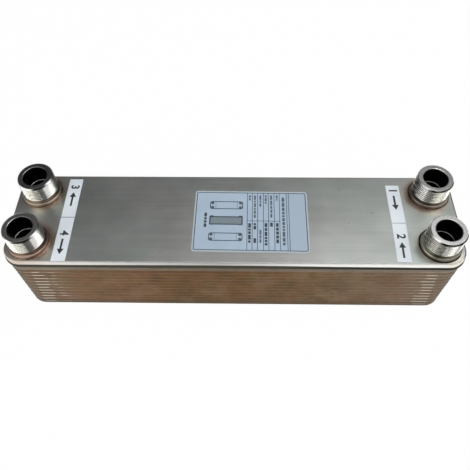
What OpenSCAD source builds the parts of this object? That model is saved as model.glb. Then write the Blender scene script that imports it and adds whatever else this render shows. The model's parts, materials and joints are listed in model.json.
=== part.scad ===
// Brazed plate heat exchanger with four threaded nozzles.
// The origin is the middle of the rim that it rests on. +X runs along the length and +Z leads out of the nozzles.
// Every plate is one pressed sheet: a flat border, a herringbone field, four port rims and a skirt.
// The skirt leans outwards by just enough for the next sheet's skirt to nest over it.

/* [Body] */
// Length over the front cover
body_length = 335; // [321:1:420]
// Width over the front cover
body_width = 81; // [80:1:120]
// Corner radius of the front cover, seen from the front
corner_radius = 14.8; // [14.5:0.1:17.5]

/* [Covers] */
// Thickness of the front cover
front_cover_thickness = 2; // [1.6:0.1:2.4]
// Depth of the front cover's turned edge, from its face
front_cover_depth = 5.8; // [5:0.1:6.6]
// Outside radius of the front cover's bend
front_bend_radius = 1.2; // [0.6:0.1:1.5]
// Thickness of the back cover
back_cover_thickness = 2; // [1:0.1:3]
// Height of the back cover from its rim to its flat face
back_cover_depth = 11; // [9:0.1:14]
// Outside radius of the back cover's bend
back_bend_radius = 2.4; // [1:0.1:3]

/* [Plates] */
// Number of channel plates between the two end plates
channel_plates = 20; // [4:2:30]
// Height from one plate to the next
plate_pitch = 2.37; // [2.2:0.01:2.8]
// Thickness of the plate sheet
sheet = 0.4; // [0.3:0.02:0.44]
// Copper film between the nested skirts
braze_film = 0.02; // [0.01:0.01:0.05]
// How far a long skirt reaches below its plate's border
long_skirt = 7; // [6:0.1:7.6]
// How much shorter every second skirt is
skirt_step = 2; // [1.2:0.1:2.3]
// Outside radius of a plate's bend
plate_bend_radius = 1; // [0.5:0.1:1.3]

/* [Herringbone] */
// Distance from one ridge to the next, square to the ridges
ridge_spacing = 12; // [10:0.5:18]
// Angle between the ridges and the length
chevron_angle = 60; // [50:1:70]
// Flat border between the field and the skirt
field_border = 3; // [2.5:0.1:5]
// Flat land between the field and the foot of a raised port rim
port_land = 1.6; // [1:0.1:3]
// How far the field reaches past the port centres, towards the ends
field_overrun = 6.9; // [4:0.1:7.5]

/* [Ports] */
// Distance from a port's centre to the near end of the front cover
port_from_end = 18.9; // [18.5:0.1:30]
// Distance from a port's centre to the near long side of the front cover
port_from_side = 17.5; // [17.5:0.1:18.5]
// Diameter of the hole through each plate
port_hole = 18; // [17.8:0.1:19]
// Width of a port rim's flat face
port_rim = 2; // [1.5:0.1:2.2]
// Width of the slope outside a raised port rim
port_slope = 1.4; // [1:0.1:1.6]

/* [Nozzles] */
// Outside diameter of the thread
thread_diameter = 26.44; // [25:0.01:27]
// Height of a nozzle above the front cover
nozzle_height = 19.3; // [14:0.1:30]
// Bore of a nozzle at its tip
nozzle_bore = 17.6; // [14:0.1:17.7]
// How far that bore reaches down from the tip
bore_depth = 14.4; // [12:0.1:17]
// Width of the ledge at its foot, where the bore narrows
bore_ledge = 0.5; // [0.3:0.1:1]
// Bevel at the thread's tip
tip_bevel = 0.9; // [0.6:0.1:2]
// Bevel at the bore's mouth
bore_bevel = 0.5; // [0.3:0.1:1.2]
// Diameter of the collar
collar_diameter = 29.2; // [28:0.1:30]
// Height of the collar
collar_height = 3; // [2:0.1:5]
// Bevel on the collar's upper edge
collar_bevel = 0.4; // [0.2:0.1:0.5]
// Width of the groove between the collar and the thread
groove_width = 1.9; // [0.8:0.1:2.4]
// Depth of that groove below the thread's crests
groove_depth = 1; // [0.5:0.1:1.4]
// Diameter of the spigot that stands in the front cover's hole
spigot_diameter = 21.6; // [19:0.1:21.8]
// Clearance of the spigot in its hole, on the radius
spigot_clearance = 0.1; // [0.05:0.05:0.2]
// Leg of the copper fillet round each collar
fillet_leg = 0.9; // [0.5:0.1:1]

/* [Labels] */
// Thickness of the rating label
rating_thickness = 0.2; // [0.1:0.05:0.4]
// Length of the rating label
rating_length = 85.4; // [60:0.1:100]
// Width of the rating label
rating_width = 54.9; // [40:0.1:58]
// Corner radius of the rating label
rating_radius = 2.4; // [1:0.1:4]
// Place of the rating label's middle along the length
rating_x = 12.8; // [-15:0.1:30]
// Place of the rating label's middle across the width
rating_y = -2.9; // [-5:0.1:5]
// Turn of the rating label
rating_turn = -0.6; // [-3:0.1:3]
// Thickness of the tape labels
tape_thickness = 0.2; // [0.1:0.05:0.4]
// Width of the tape labels
tape_width = 10.2; // [9:0.1:12]
// Gap between the two tape labels of a pair
tape_gap = 0.3; // [0.1:0.1:1]
// Distance from the middle of the left tape labels to the left end of the front cover
left_tape_from_end = 43; // [41.5:0.1:50]
// Distances from the left tape labels' outer ends to the cover's long sides, back and front
left_tape_margins = [4.7, 1.7]; // [1.5:0.1:12]
// Where the left pair meets, across the width
left_tape_split = -1; // [-6:0.1:6]
// Turns of the left tape labels, back and front
left_tape_turns = [0, 0]; // [-3:0.1:3]
// Distance from the middle of the right tape labels to the right end of the front cover
right_tape_from_end = 45.5; // [44.5:0.1:55]
// Distances from the right tape labels' outer ends to the cover's long sides, back and front
right_tape_margins = [9.5, 3.1]; // [3:0.1:12]
// Where the right pair meets, across the width
right_tape_split = -4.6; // [-6:0.1:6]
// Turns of the right tape labels, back and front
right_tape_turns = [-0.2, -1.8]; // [-3:0.1:3]

/* [Hidden] */
$fn = 96;
// How far a cut reaches past the faces that it goes through
cut = 1;
// Straight facets in the section of each bend
bend_facets = 3;
// Least radius inside a bend
least_inner_bend = 0.1;
// Flat left between a plate's inner sheet and its bend
bend_margin = 0.2;
// Width of a cover's bent border, in thicknesses of the cover
border_thicknesses = 3;
// Depth of the hollow in a copper fillet's face, as a share of its leg
fillet_hollow = 0.36;

plate_name = function(i) str("channel_plate_", i < 10 ? "0" : "", i);

// Lean of the skirts, at which a sheet and its copper film fill one pitch
lean = asin((sheet + braze_film) / plate_pitch);
across = function(thickness) thickness / cos(lean);

// Heights of the plates' borders and of the front cover. Plate 0 is the back end plate.
last_plate = channel_plates + 1;
plate_level = function(i) back_cover_depth + i * plate_pitch;
front_cover_level = plate_level(last_plate + 1);
face_level = front_cover_level + front_cover_thickness;

// Middles of the corners' arcs. All radii of skirts and outlines are measured from them.
corner_x = body_length / 2 - corner_radius;
corner_y = body_width / 2 - corner_radius;

// Outside radius of each leaning skirt, carried up to the underside of its own border
front_cover_radius = corner_radius - (front_cover_depth - front_cover_thickness) * tan(lean);
plate_radius = front_cover_radius - across(front_cover_thickness + braze_film) + plate_pitch * tan(lean);
back_cover_radius = plate_radius + (back_cover_thickness - plate_pitch) * tan(lean);

// Flat part of a pressed plate, inside its bend
flat_radius = plate_radius + (plate_bend_radius - sheet) * tan(lean) - across(plate_bend_radius) - bend_margin;

port_x = body_length / 2 - port_from_end;
port_y = body_width / 2 - port_from_side;
port_hole_radius = port_hole / 2;
rim_radius = port_hole_radius + port_rim;
foot_radius = rim_radius + port_slope;
port_clear_radius = foot_radius + port_land;
ridge_rise = plate_pitch - sheet;

// Half sizes of the herringbone field, whose corners lie inside the circles kept clear round the ports
field_y = corner_y + flat_radius - field_border;
field_x = port_x + field_overrun;

function arc(centre, r, from, to) =
    [for (s = [0 : bend_facets]) let (a = from + (to - from) * s / bend_facets) centre + r * [cos(a), sin(a)]];

// Section of a sheet that turns down into a leaning skirt, with its border's underside at z = 0.
// radius is the skirt's outside there, and drop is how far it reaches below.
function skirt_section(start, radius, drop, thickness, outer_bend) =
    let (inner_bend = max(least_inner_bend, outer_bend - thickness),
         inner = radius - across(thickness),
         outer_centre = [radius - (thickness - outer_bend) * tan(lean) - across(outer_bend), thickness - outer_bend],
         inner_centre = [inner + inner_bend * tan(lean) - across(inner_bend), -inner_bend])
    concat(
        [[start, 0]],
        arc(inner_centre, inner_bend, 90, lean),
        [[inner + drop * tan(lean), -drop], [radius + drop * tan(lean), -drop]],
        arc(outer_centre, outer_bend, lean, 90),
        [[start, thickness]]);

// Carries a section round the rounded outline: four straight sides and four corners
module around() {
    for (side = [-1, 1]) {
        translate([0, side * corner_y, 0])
            rotate([90, 0, side * 90]) linear_extrude(height = 2 * corner_x, center = true) children();
        translate([side * corner_x, 0, 0])
            rotate([90, 0, side > 0 ? 0 : 180]) linear_extrude(height = 2 * corner_y, center = true) children();
    }
    for (quarter = [0 : 3])
        translate([(quarter % 3 == 0 ? 1 : -1) * corner_x, (quarter < 2 ? 1 : -1) * corner_y, 0])
            rotate([0, 0, 90 * quarter]) rotate_extrude(angle = 90) children();
}

// Flat rounded outline at a radius from the corners' middles
module outline(radius) {
    square([2 * (corner_x + radius), 2 * corner_y], center = true);
    square([2 * corner_x, 2 * (corner_y + radius)], center = true);
    for (x = [-1, 1], y = [-1, 1]) translate([x * corner_x, y * corner_y]) circle(radius);
}

module at_port(x, y) {
    translate([x * port_x, y * port_y, 0]) children();
}

// Zigzag of ridges that crosses one half of the field, filled down to bottom
module ridges(bottom, valley) {
    count = ceil((field_x * sin(chevron_angle) + field_y * cos(chevron_angle)) / ridge_spacing) + 1;
    zigzag = [for (s = [-2 * count : 2 * count])
        [s * ridge_spacing / 2, valley + (s % 2 == 0 ? 0 : ridge_rise)]];
    rotate([0, 0, chevron_angle]) rotate([90, 0, 90])
        linear_extrude(height = 2 * body_length, center = true)
            polygon(concat([[-count * ridge_spacing, bottom]], zigzag, [[count * ridge_spacing, bottom]]));
}

// Outline of the field's back half, kept clear of the ports
module half_field(inset) {
    difference() {
        translate([inset - field_x, 0]) square([2 * (field_x - inset), field_y - inset]);
        for (x = [-1, 1])
            translate([x * port_x, port_y]) circle(port_clear_radius + inset);
    }
}

// The ridged field, as the solid below its upper face or, with inset, the hollow below its underside
module field(bottom, valley, inset = 0) {
    for (half = [0, 1]) mirror([0, half, 0])
        intersection() {
            ridges(bottom, valley);
            translate([0, 0, bottom]) linear_extrude(plate_pitch - bottom + cut) half_field(inset);
        }
}

// One pressed plate with its border's underside at z = 0. Its raised port rims are on the side that
// row gives, -1 in front and 1 at the back. A blind plate has no port holes.
module pressed_plate(drop, row, blind = false) {
    turn = row < 0 ? 0 : 180;
    slope_across = sheet * sqrt(1 + (port_slope / plate_pitch) ^ 2);
    difference() {
        union() {
            linear_extrude(sheet) outline(flat_radius);
            rotate([0, 0, turn]) field(0, sheet);
            for (x = [-1, 1]) at_port(x, row) cylinder(h = plate_pitch, r1 = foot_radius, r2 = rim_radius);
        }
        rotate([0, 0, turn]) field(-cut, 0, sheet);
        for (x = [-1, 1]) at_port(x, row)
            cylinder(h = ridge_rise, r1 = foot_radius - slope_across,
                r2 = rim_radius + port_slope * sheet / plate_pitch - slope_across);
        if (!blind) for (x = [-1, 1], y = [-1, 1]) at_port(x, y)
            translate([0, 0, -cut]) cylinder(h = plate_pitch + 2 * cut, r = port_hole_radius);
    }
    around() polygon(skirt_section(flat_radius, plate_radius, drop, sheet, plate_bend_radius));
}

// Plates are turned end for end in turn, and every second one has the long skirt
module plate(i, blind = false) {
    translate([0, 0, plate_level(i)])
        pressed_plate(i % 2 == 0 ? long_skirt - skirt_step : long_skirt, i % 2 == 0 ? -1 : 1, blind);
}

module channel_plate(i) {
    color("peru") plate(i);
}

module front_end_plate() {
    color("rosybrown") plate(last_plate);
}

module back_end_plate() {
    color("peru") plate(0, blind = true);
}

// Flat cover with a turned edge and four holes for the nozzles' spigots
module front_cover() {
    flat = front_cover_radius - border_thicknesses * front_cover_thickness;
    color("silver") translate([0, 0, front_cover_level]) {
        difference() {
            linear_extrude(front_cover_thickness) outline(flat);
            for (x = [-1, 1], y = [-1, 1]) at_port(x, y)
                translate([0, 0, -cut])
                    cylinder(h = front_cover_thickness + 2 * cut, r = spigot_diameter / 2 + spigot_clearance);
        }
        around() polygon(skirt_section(flat, front_cover_radius, front_cover_depth - front_cover_thickness,
            front_cover_thickness, front_bend_radius));
    }
}

// Deep cover without holes, whose lower edge is the rim that the body stands on
module back_cover() {
    flat = back_cover_radius - border_thicknesses * back_cover_thickness;
    color("darkgoldenrod") translate([0, 0, back_cover_depth - back_cover_thickness]) {
        linear_extrude(back_cover_thickness) outline(flat);
        around() polygon(skirt_section(flat, back_cover_radius, back_cover_depth - back_cover_thickness,
            back_cover_thickness, back_bend_radius));
    }
}

// Ring that closes the gap between the front cover and a port rim that isn't raised
module seal_ring(x) {
    color("silver") at_port(x, -1) translate([0, 0, front_cover_level - ridge_rise])
        difference() {
            cylinder(h = ridge_rise, r = rim_radius);
            translate([0, 0, -cut]) cylinder(h = ridge_rise + 2 * cut, r = port_hole_radius);
        }
}

// Turned nozzle: spigot, collar, groove, the thread's blank with bevelled ends, and a bore with a ledge
module nozzle(x, y) {
    bore = nozzle_bore / 2;
    spigot = spigot_diameter / 2;
    collar = collar_diameter / 2;
    thread = thread_diameter / 2;
    color("lightgray") at_port(x, y) translate([0, 0, face_level])
        rotate_extrude() polygon([
            [bore - bore_ledge, -front_cover_thickness],
            [spigot, -front_cover_thickness],
            [spigot, 0],
            [collar, 0],
            [collar, collar_height - collar_bevel],
            [collar - collar_bevel, collar_height],
            [thread - groove_depth, collar_height],
            [thread - groove_depth, collar_height + groove_width - groove_depth / 2],
            [thread, collar_height + groove_width + groove_depth / 2],
            [thread, nozzle_height - tip_bevel],
            [thread - tip_bevel, nozzle_height],
            [bore + bore_bevel, nozzle_height],
            [bore, nozzle_height - bore_bevel],
            [bore, nozzle_height - bore_depth],
            [bore - bore_ledge, nozzle_height - bore_depth]]);
}

// Copper that has run into the corner between a collar and the front cover
module braze_fillet(x, y) {
    foot = collar_diameter / 2;
    hollow = fillet_hollow * fillet_leg;
    color("chocolate") at_port(x, y) translate([0, 0, face_level])
        rotate_extrude() polygon([
            [foot, 0], [foot + fillet_leg, 0], [foot + hollow, hollow], [foot, fillet_leg]]);
}

module rating_label() {
    half = [rating_length / 2 - rating_radius, rating_width / 2 - rating_radius];
    color("lightsteelblue") translate([rating_x, rating_y, face_level]) rotate([0, 0, rating_turn])
        linear_extrude(rating_thickness) {
            square([rating_length, 2 * half.y], center = true);
            square([2 * half.x, rating_width], center = true);
            for (x = [-1, 1], y = [-1, 1]) translate([x * half.x, y * half.y]) circle(rating_radius);
        }
}

// Tape label from the place where its pair meets towards one long side, -1 in front and 1 at the back
module tape_label(x, split, side, margin, turn) {
    color("whitesmoke") translate([x, split + side * tape_gap / 2, face_level])
        rotate([0, 0, side > 0 ? turn : 180 + turn])
            translate([-tape_width / 2, 0, 0])
                cube([tape_width, body_width / 2 - margin - side * split - tape_gap / 2, tape_thickness]);
}

module left_tape_label(side, end) {
    tape_label(left_tape_from_end - body_length / 2, left_tape_split, side, left_tape_margins[end],
        left_tape_turns[end]);
}

module right_tape_label(side, end) {
    tape_label(body_length / 2 - right_tape_from_end, right_tape_split, side, right_tape_margins[end],
        right_tape_turns[end]);
}

front_cover();
back_cover();
front_end_plate();
back_end_plate();
for (i = [1 : channel_plates]) channel_plate(i);
seal_ring(-1);  // seal_ring_left
seal_ring(1);  // seal_ring_right
nozzle(-1, 1);  // nozzle_back_left
nozzle(1, 1);  // nozzle_back_right
nozzle(-1, -1);  // nozzle_front_left
nozzle(1, -1);  // nozzle_front_right
braze_fillet(-1, 1);  // braze_fillet_back_left
braze_fillet(1, 1);  // braze_fillet_back_right
braze_fillet(-1, -1);  // braze_fillet_front_left
braze_fillet(1, -1);  // braze_fillet_front_right
rating_label();
left_tape_label(1, 0);  // tape_label_back_left
right_tape_label(1, 0);  // tape_label_back_right
left_tape_label(-1, 1);  // tape_label_front_left
right_tape_label(-1, 1);  // tape_label_front_right
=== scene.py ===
"""Looks of a long brazed plate heat exchanger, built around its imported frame.

Everything is in metres and in the frame of the CAD model: +X runs along the body, +Y away from the
viewer and +Z out of the nozzles. The origin is the middle of the rim that the body stands on.
"""

import json
import logging
import math
from dataclasses import dataclass
from enum import Enum

import bpy
import numpy as np
from mathutils import Matrix, Vector

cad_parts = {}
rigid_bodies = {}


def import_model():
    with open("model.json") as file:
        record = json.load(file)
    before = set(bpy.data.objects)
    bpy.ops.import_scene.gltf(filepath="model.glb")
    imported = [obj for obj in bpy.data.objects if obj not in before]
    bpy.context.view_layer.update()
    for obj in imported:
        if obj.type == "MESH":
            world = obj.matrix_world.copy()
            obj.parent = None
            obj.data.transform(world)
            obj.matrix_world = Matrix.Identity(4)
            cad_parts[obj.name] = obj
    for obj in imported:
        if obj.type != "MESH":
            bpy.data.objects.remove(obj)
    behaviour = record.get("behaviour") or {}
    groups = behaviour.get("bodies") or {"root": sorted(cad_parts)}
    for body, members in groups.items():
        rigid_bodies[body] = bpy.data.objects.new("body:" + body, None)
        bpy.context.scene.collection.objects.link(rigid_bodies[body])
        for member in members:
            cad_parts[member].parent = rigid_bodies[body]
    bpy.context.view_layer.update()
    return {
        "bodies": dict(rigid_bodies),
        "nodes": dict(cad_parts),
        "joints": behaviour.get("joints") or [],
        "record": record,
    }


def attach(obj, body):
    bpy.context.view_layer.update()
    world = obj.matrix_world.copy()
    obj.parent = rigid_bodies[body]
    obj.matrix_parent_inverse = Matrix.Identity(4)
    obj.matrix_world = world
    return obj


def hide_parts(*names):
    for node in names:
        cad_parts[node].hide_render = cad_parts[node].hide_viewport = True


LOG = logging.getLogger("exchanger")
MM = 0.001
PHOTO_WIDTH = 470
SENSOR_MM = 36.0

# Sizes that a shape and its finish share, or two shapes
PORT_X = 148.6 * MM
PORT_Y = 23.0 * MM
FACE_LEVEL = 65.14 * MM
NOZZLE_HEIGHT = 19.3 * MM
TIP_LEVEL = FACE_LEVEL + NOZZLE_HEIGHT
TIP_BEVEL = 0.9 * MM
CREST_RADIUS = 13.22 * MM
COLLAR_RADIUS = 14.6 * MM
BORE_RADIUS = 8.8 * MM
BORE_DEPTH = 14.4 * MM
LABEL_CENTRE = (12.8 * MM, -2.9 * MM)
LABEL_TURN = -0.6
LABEL_FRAME = (41.6 * MM, 26.2 * MM)
PRINT_LEVEL = 65.36 * MM
TONE_SPAN = 340.0 * MM

Colour = tuple[float, float, float]
Place = tuple[float, float]
Triple = tuple[float, float, float]
Stop = tuple[float, Colour]
Span = tuple[float, float]
Band = tuple[float, float, float, float]


class Port(Enum):
    """The four ports, each with the signs of its place along X and Y."""

    BACK_LEFT = (-1, 1)
    BACK_RIGHT = (1, 1)
    FRONT_LEFT = (-1, -1)
    FRONT_RIGHT = (1, -1)

    @property
    def label(self) -> str:
        """The port's name as the CAD nodes end in it."""
        return self.name.lower()

    @property
    def place(self) -> Place:
        """Where the port's axis stands in plan."""
        return self.value[0] * PORT_X, self.value[1] * PORT_Y


class Flow(Enum):
    """Which way the medium runs at a port."""

    INTO = 1
    OUT_OF = -1


class Ink(Enum):
    """The inks of the rating label, each of which prints one piece."""

    LINE = "line"
    BOLD = "bold"
    PLAIN = "plain"
    PANEL = "panel"


@dataclass(frozen=True)
class Grain:
    """One noise. Its scale is in waves to the metre, and a stretch gives each axis a scale of its own."""

    scale: float = 1.0
    detail: float = 3.0
    roughness: float = 0.55
    stretch: Triple | None = None
    shift: Triple = (0.0, 0.0, 0.0)


class Wire:
    """A shader value on its way from one socket to the next. Python's operators add Math nodes."""

    def __init__(self, kit: "NodeKit", socket: bpy.types.NodeSocket) -> None:
        self.kit = kit
        self.socket = socket

    def __add__(self, other: "Wire | float") -> "Wire":
        """Sum."""
        return self.kit.maths("ADD", self, other)

    def __radd__(self, other: float) -> "Wire":
        """Sum with a number in front."""
        return self.kit.maths("ADD", other, self)

    def __sub__(self, other: "Wire | float") -> "Wire":
        """Difference."""
        return self.kit.maths("SUBTRACT", self, other)

    def __rsub__(self, other: float) -> "Wire":
        """Difference from a number."""
        return self.kit.maths("SUBTRACT", other, self)

    def __mul__(self, other: "Wire | float") -> "Wire":
        """Product."""
        return self.kit.maths("MULTIPLY", self, other)

    def __rmul__(self, other: float) -> "Wire":
        """Product with a number in front."""
        return self.kit.maths("MULTIPLY", other, self)

    def __truediv__(self, other: "Wire | float") -> "Wire":
        """Quotient."""
        return self.kit.maths("DIVIDE", self, other)

    def __rtruediv__(self, other: float) -> "Wire":
        """Quotient with a number in front."""
        return self.kit.maths("DIVIDE", other, self)

    def larger(self, other: "Wire | float") -> "Wire":
        """The larger of the two."""
        return self.kit.maths("MAXIMUM", self, other)

    def size(self) -> "Wire":
        """This value without its sign."""
        return self.kit.maths("ABSOLUTE", self)

    def fraction(self) -> "Wire":
        """What this value has past its whole number."""
        return self.kit.maths("FRACT", self)

    def rise(self, low: float, high: float) -> "Wire":
        """Smooth step: 0 at low, 1 at high. With low above high it falls instead."""
        return self.kit.ramp(self, low, high)

    def band(self, low: float, rises: float, falls: float, high: float) -> "Wire":
        """Smooth hump: 0 up to low, 1 from rises to falls, and 0 again from high."""
        return self.rise(low, rises) * self.rise(high, falls)


class NodeKit:
    """Adds nodes to the tree of one material or of the world."""

    def __init__(self, owner: bpy.types.Material | bpy.types.World) -> None:
        """Starts with an empty tree.

        Args:
            owner: the material or world that the tree belongs to.
        """
        owner.use_nodes = True
        self.owner = owner
        self.tree = owner.node_tree
        self.tree.nodes.clear()

    def add(self, kind: str, settings: dict | None = None, values: dict | None = None) -> bpy.types.Node:
        """Adds one node.

        Args:
            kind: the node's type.
            settings: its settings, which are set before its sockets. "stops" holds a colour ramp's stops.
            values: for each socket, by name or number, a number, a colour, or a Wire to link.

        Returns:
            The node.
        """
        node = self.tree.nodes.new(kind)
        for key, value in (settings or {}).items():
            if key == "stops":
                self._set_stops(node.color_ramp, value)
            else:
                setattr(node, key, value)
        for key, value in (values or {}).items():
            socket = node.inputs[key]
            if isinstance(value, Wire):
                self.tree.links.new(value.socket, socket)
            elif isinstance(value, tuple) and socket.type == "RGBA":
                socket.default_value = (*value, 1.0)
            else:
                socket.default_value = value
        return node

    @staticmethod
    def _set_stops(ramp: bpy.types.ColorRamp, stops: list[Stop]) -> None:
        """Gives a colour ramp its stops.

        Args:
            ramp: a new node's ramp.
            stops: places between 0 and 1 with their colours, in order of place.
        """
        while len(ramp.elements) < len(stops):
            ramp.elements.new(1.0)
        for element, (place, colour) in zip(ramp.elements, stops):
            element.position = place
            element.color = (*colour, 1.0)

    def wire(self, node: bpy.types.Node, output: int | str = 0) -> Wire:
        """One output of a node."""
        return Wire(self, node.outputs[output])

    def maths(self, operation: str, *values: Wire | float) -> Wire:
        """A Math node's result."""
        return self.wire(self.add("ShaderNodeMath", {"operation": operation}, dict(enumerate(values))))

    def ramp(self, value: Wire, low: float, high: float) -> Wire:
        """Smooth step of a value from 0 at low to 1 at high."""
        settings = {"interpolation_type": "SMOOTHSTEP", "clamp": True}
        values = {"Value": value, "From Min": low, "From Max": high}
        return self.wire(self.add("ShaderNodeMapRange", settings, values))

    def mix(self, share: Wire | float, first: Wire | Colour, second: Wire | Colour) -> Wire:
        """Mix of two colours, of which the second has the given share."""
        node = self.add("ShaderNodeMix", {"data_type": "RGBA"}, {0: share, 6: first, 7: second})
        return self.wire(node, 2)

    def parts(self, vector: Wire) -> tuple[Wire, Wire, Wire]:
        """The three numbers of a vector."""
        node = self.add("ShaderNodeSeparateXYZ", values={0: vector})
        return self.wire(node, 0), self.wire(node, 1), self.wire(node, 2)

    def stretched(self, vector: Wire, scale: Triple, shift: Triple = (0.0, 0.0, 0.0)) -> Wire:
        """A vector that is scaled along each axis and then shifted."""
        values = {"Vector": vector, "Scale": scale, "Location": shift}
        return self.wire(self.add("ShaderNodeMapping", values=values))

    def noise(self, vector: Wire, grain: Grain) -> Wire:
        """Noise between 0 and 1, about 0.5.

        Args:
            vector: coordinates in metres.
            grain: scales, detail and roughness of the noise.

        Returns:
            The noise.
        """
        if grain.stretch is not None:
            vector = self.stretched(vector, grain.stretch, grain.shift)
        values = {"Scale": grain.scale, "Detail": grain.detail, "Roughness": grain.roughness}
        return self.wire(self.add("ShaderNodeTexNoise", values={"Vector": vector, **values}), "Fac")

    def gradient(self, value: Wire, stops: list[Stop]) -> Wire:
        """Colour that a value between 0 and 1 picks from a row of stops."""
        return self.wire(self.add("ShaderNodeValToRGB", {"stops": stops}, {0: value}))


class Skin(NodeKit):
    """A material in the making, with the colour that has been laid so far."""

    def __init__(self, name: str, bare: Colour = (1.0, 1.0, 1.0)) -> None:
        """Starts a new material.

        Args:
            name: its name.
            bare: the colour that the first layer goes over.
        """
        super().__init__(bpy.data.materials.new(name))
        self.place = self.wire(self.add("ShaderNodeTexCoord"), "Object")
        self.colour: Wire | Colour = bare

    def lay(self, share: Wire | float, tone: Wire | Colour) -> None:
        """Lays a tone over the colour so far, as strongly as its share."""
        self.colour = self.mix(share, self.colour, tone)

    def axes(self) -> tuple[Wire, Wire, Wire]:
        """The surface's place along X, Y and Z, in metres."""
        return self.parts(self.place)

    def grain(self, grain: Grain) -> Wire:
        """Noise over the surface, between 0 and 1."""
        return self.noise(self.place, grain)

    def grain_along(self, grain: Grain) -> Wire:
        """Noise on the piece's own UV map, which is in metres along its surface."""
        return self.noise(self.wire(self.add("ShaderNodeTexCoord"), "UV"), grain)

    def attribute(self, name: str) -> Wire:
        """A number that the mesh carries at each corner."""
        return self.wire(self.add("ShaderNodeAttribute", {"attribute_name": name}), "Fac")

    def tones_along(self, x: Wire, tones: tuple[Stop, ...]) -> Wire:
        """Colour by place along the body. The tones' places are in millimetres from its middle."""
        stops = [(place_mm * MM / TONE_SPAN + 0.5, tone) for place_mm, tone in tones]
        return self.gradient(x / TONE_SPAN + 0.5, stops)

    def from_axis(self, centre: Place) -> Wire:
        """The way in plan from an upright axis to the surface."""
        return self.stretched(self.place, (1.0, 1.0, 0.0), (-centre[0], -centre[1], 0.0))

    def radius_from(self, centre: Place) -> Wire:
        """Distance in plan from an upright axis."""
        node = self.add("ShaderNodeVectorMath", {"operation": "LENGTH"}, {0: self.from_axis(centre)})
        return self.wire(node, "Value")

    def facing(self, centre: Place, azimuth: float) -> Wire:
        """Cosine of the angle in plan between a direction and the way from an axis to the surface.

        Args:
            centre: where the axis stands.
            azimuth: the direction, in degrees from +X.

        Returns:
            1 where the surface lies just that way from the axis, and -1 on the far side.
        """
        unit = self.add("ShaderNodeVectorMath", {"operation": "NORMALIZE"}, {0: self.from_axis(centre)})
        way = (math.cos(math.radians(azimuth)), math.sin(math.radians(azimuth)), 0.0)
        node = self.add("ShaderNodeVectorMath", {"operation": "DOT_PRODUCT"}, {0: self.wire(unit), 1: way})
        return self.wire(node, "Value")

    def bump(self, height: Wire, depth: float, under: Wire | None = None) -> Wire:
        """Normal of a surface with a relief.

        Args:
            height: the relief, between 0 and 1.
            depth: how far a height of 1 stands up, in metres.
            under: normal of a coarser relief that this one lies on.

        Returns:
            The normal.
        """
        values = {"Height": height, "Distance": depth, "Strength": 1.0}
        if under is not None:
            values["Normal"] = under
        return self.wire(self.add("ShaderNodeBump", values=values))

    def finish(self, values: dict) -> bpy.types.Material:
        """Ends the tree in one Principled shader of the colour laid.

        Args:
            values: its other sockets.

        Returns:
            The material.
        """
        shader = self.add("ShaderNodeBsdfPrincipled", values={"Base Color": self.colour, **values})
        self.add("ShaderNodeOutputMaterial", values={"Surface": self.wire(shader)})
        return self.owner


@dataclass(frozen=True)
class HeatTint:
    """Heat tint on the cover round one nozzle, stronger on one side."""

    port: Port
    reach: float
    strength: float
    shift: Place


@dataclass(frozen=True)
class Speck:
    """A soft round spot on the cover. Small dark marks, painted shadows and painted reflections are made of
    it.
    """

    centre: Place
    radius: float
    depth: float


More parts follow.
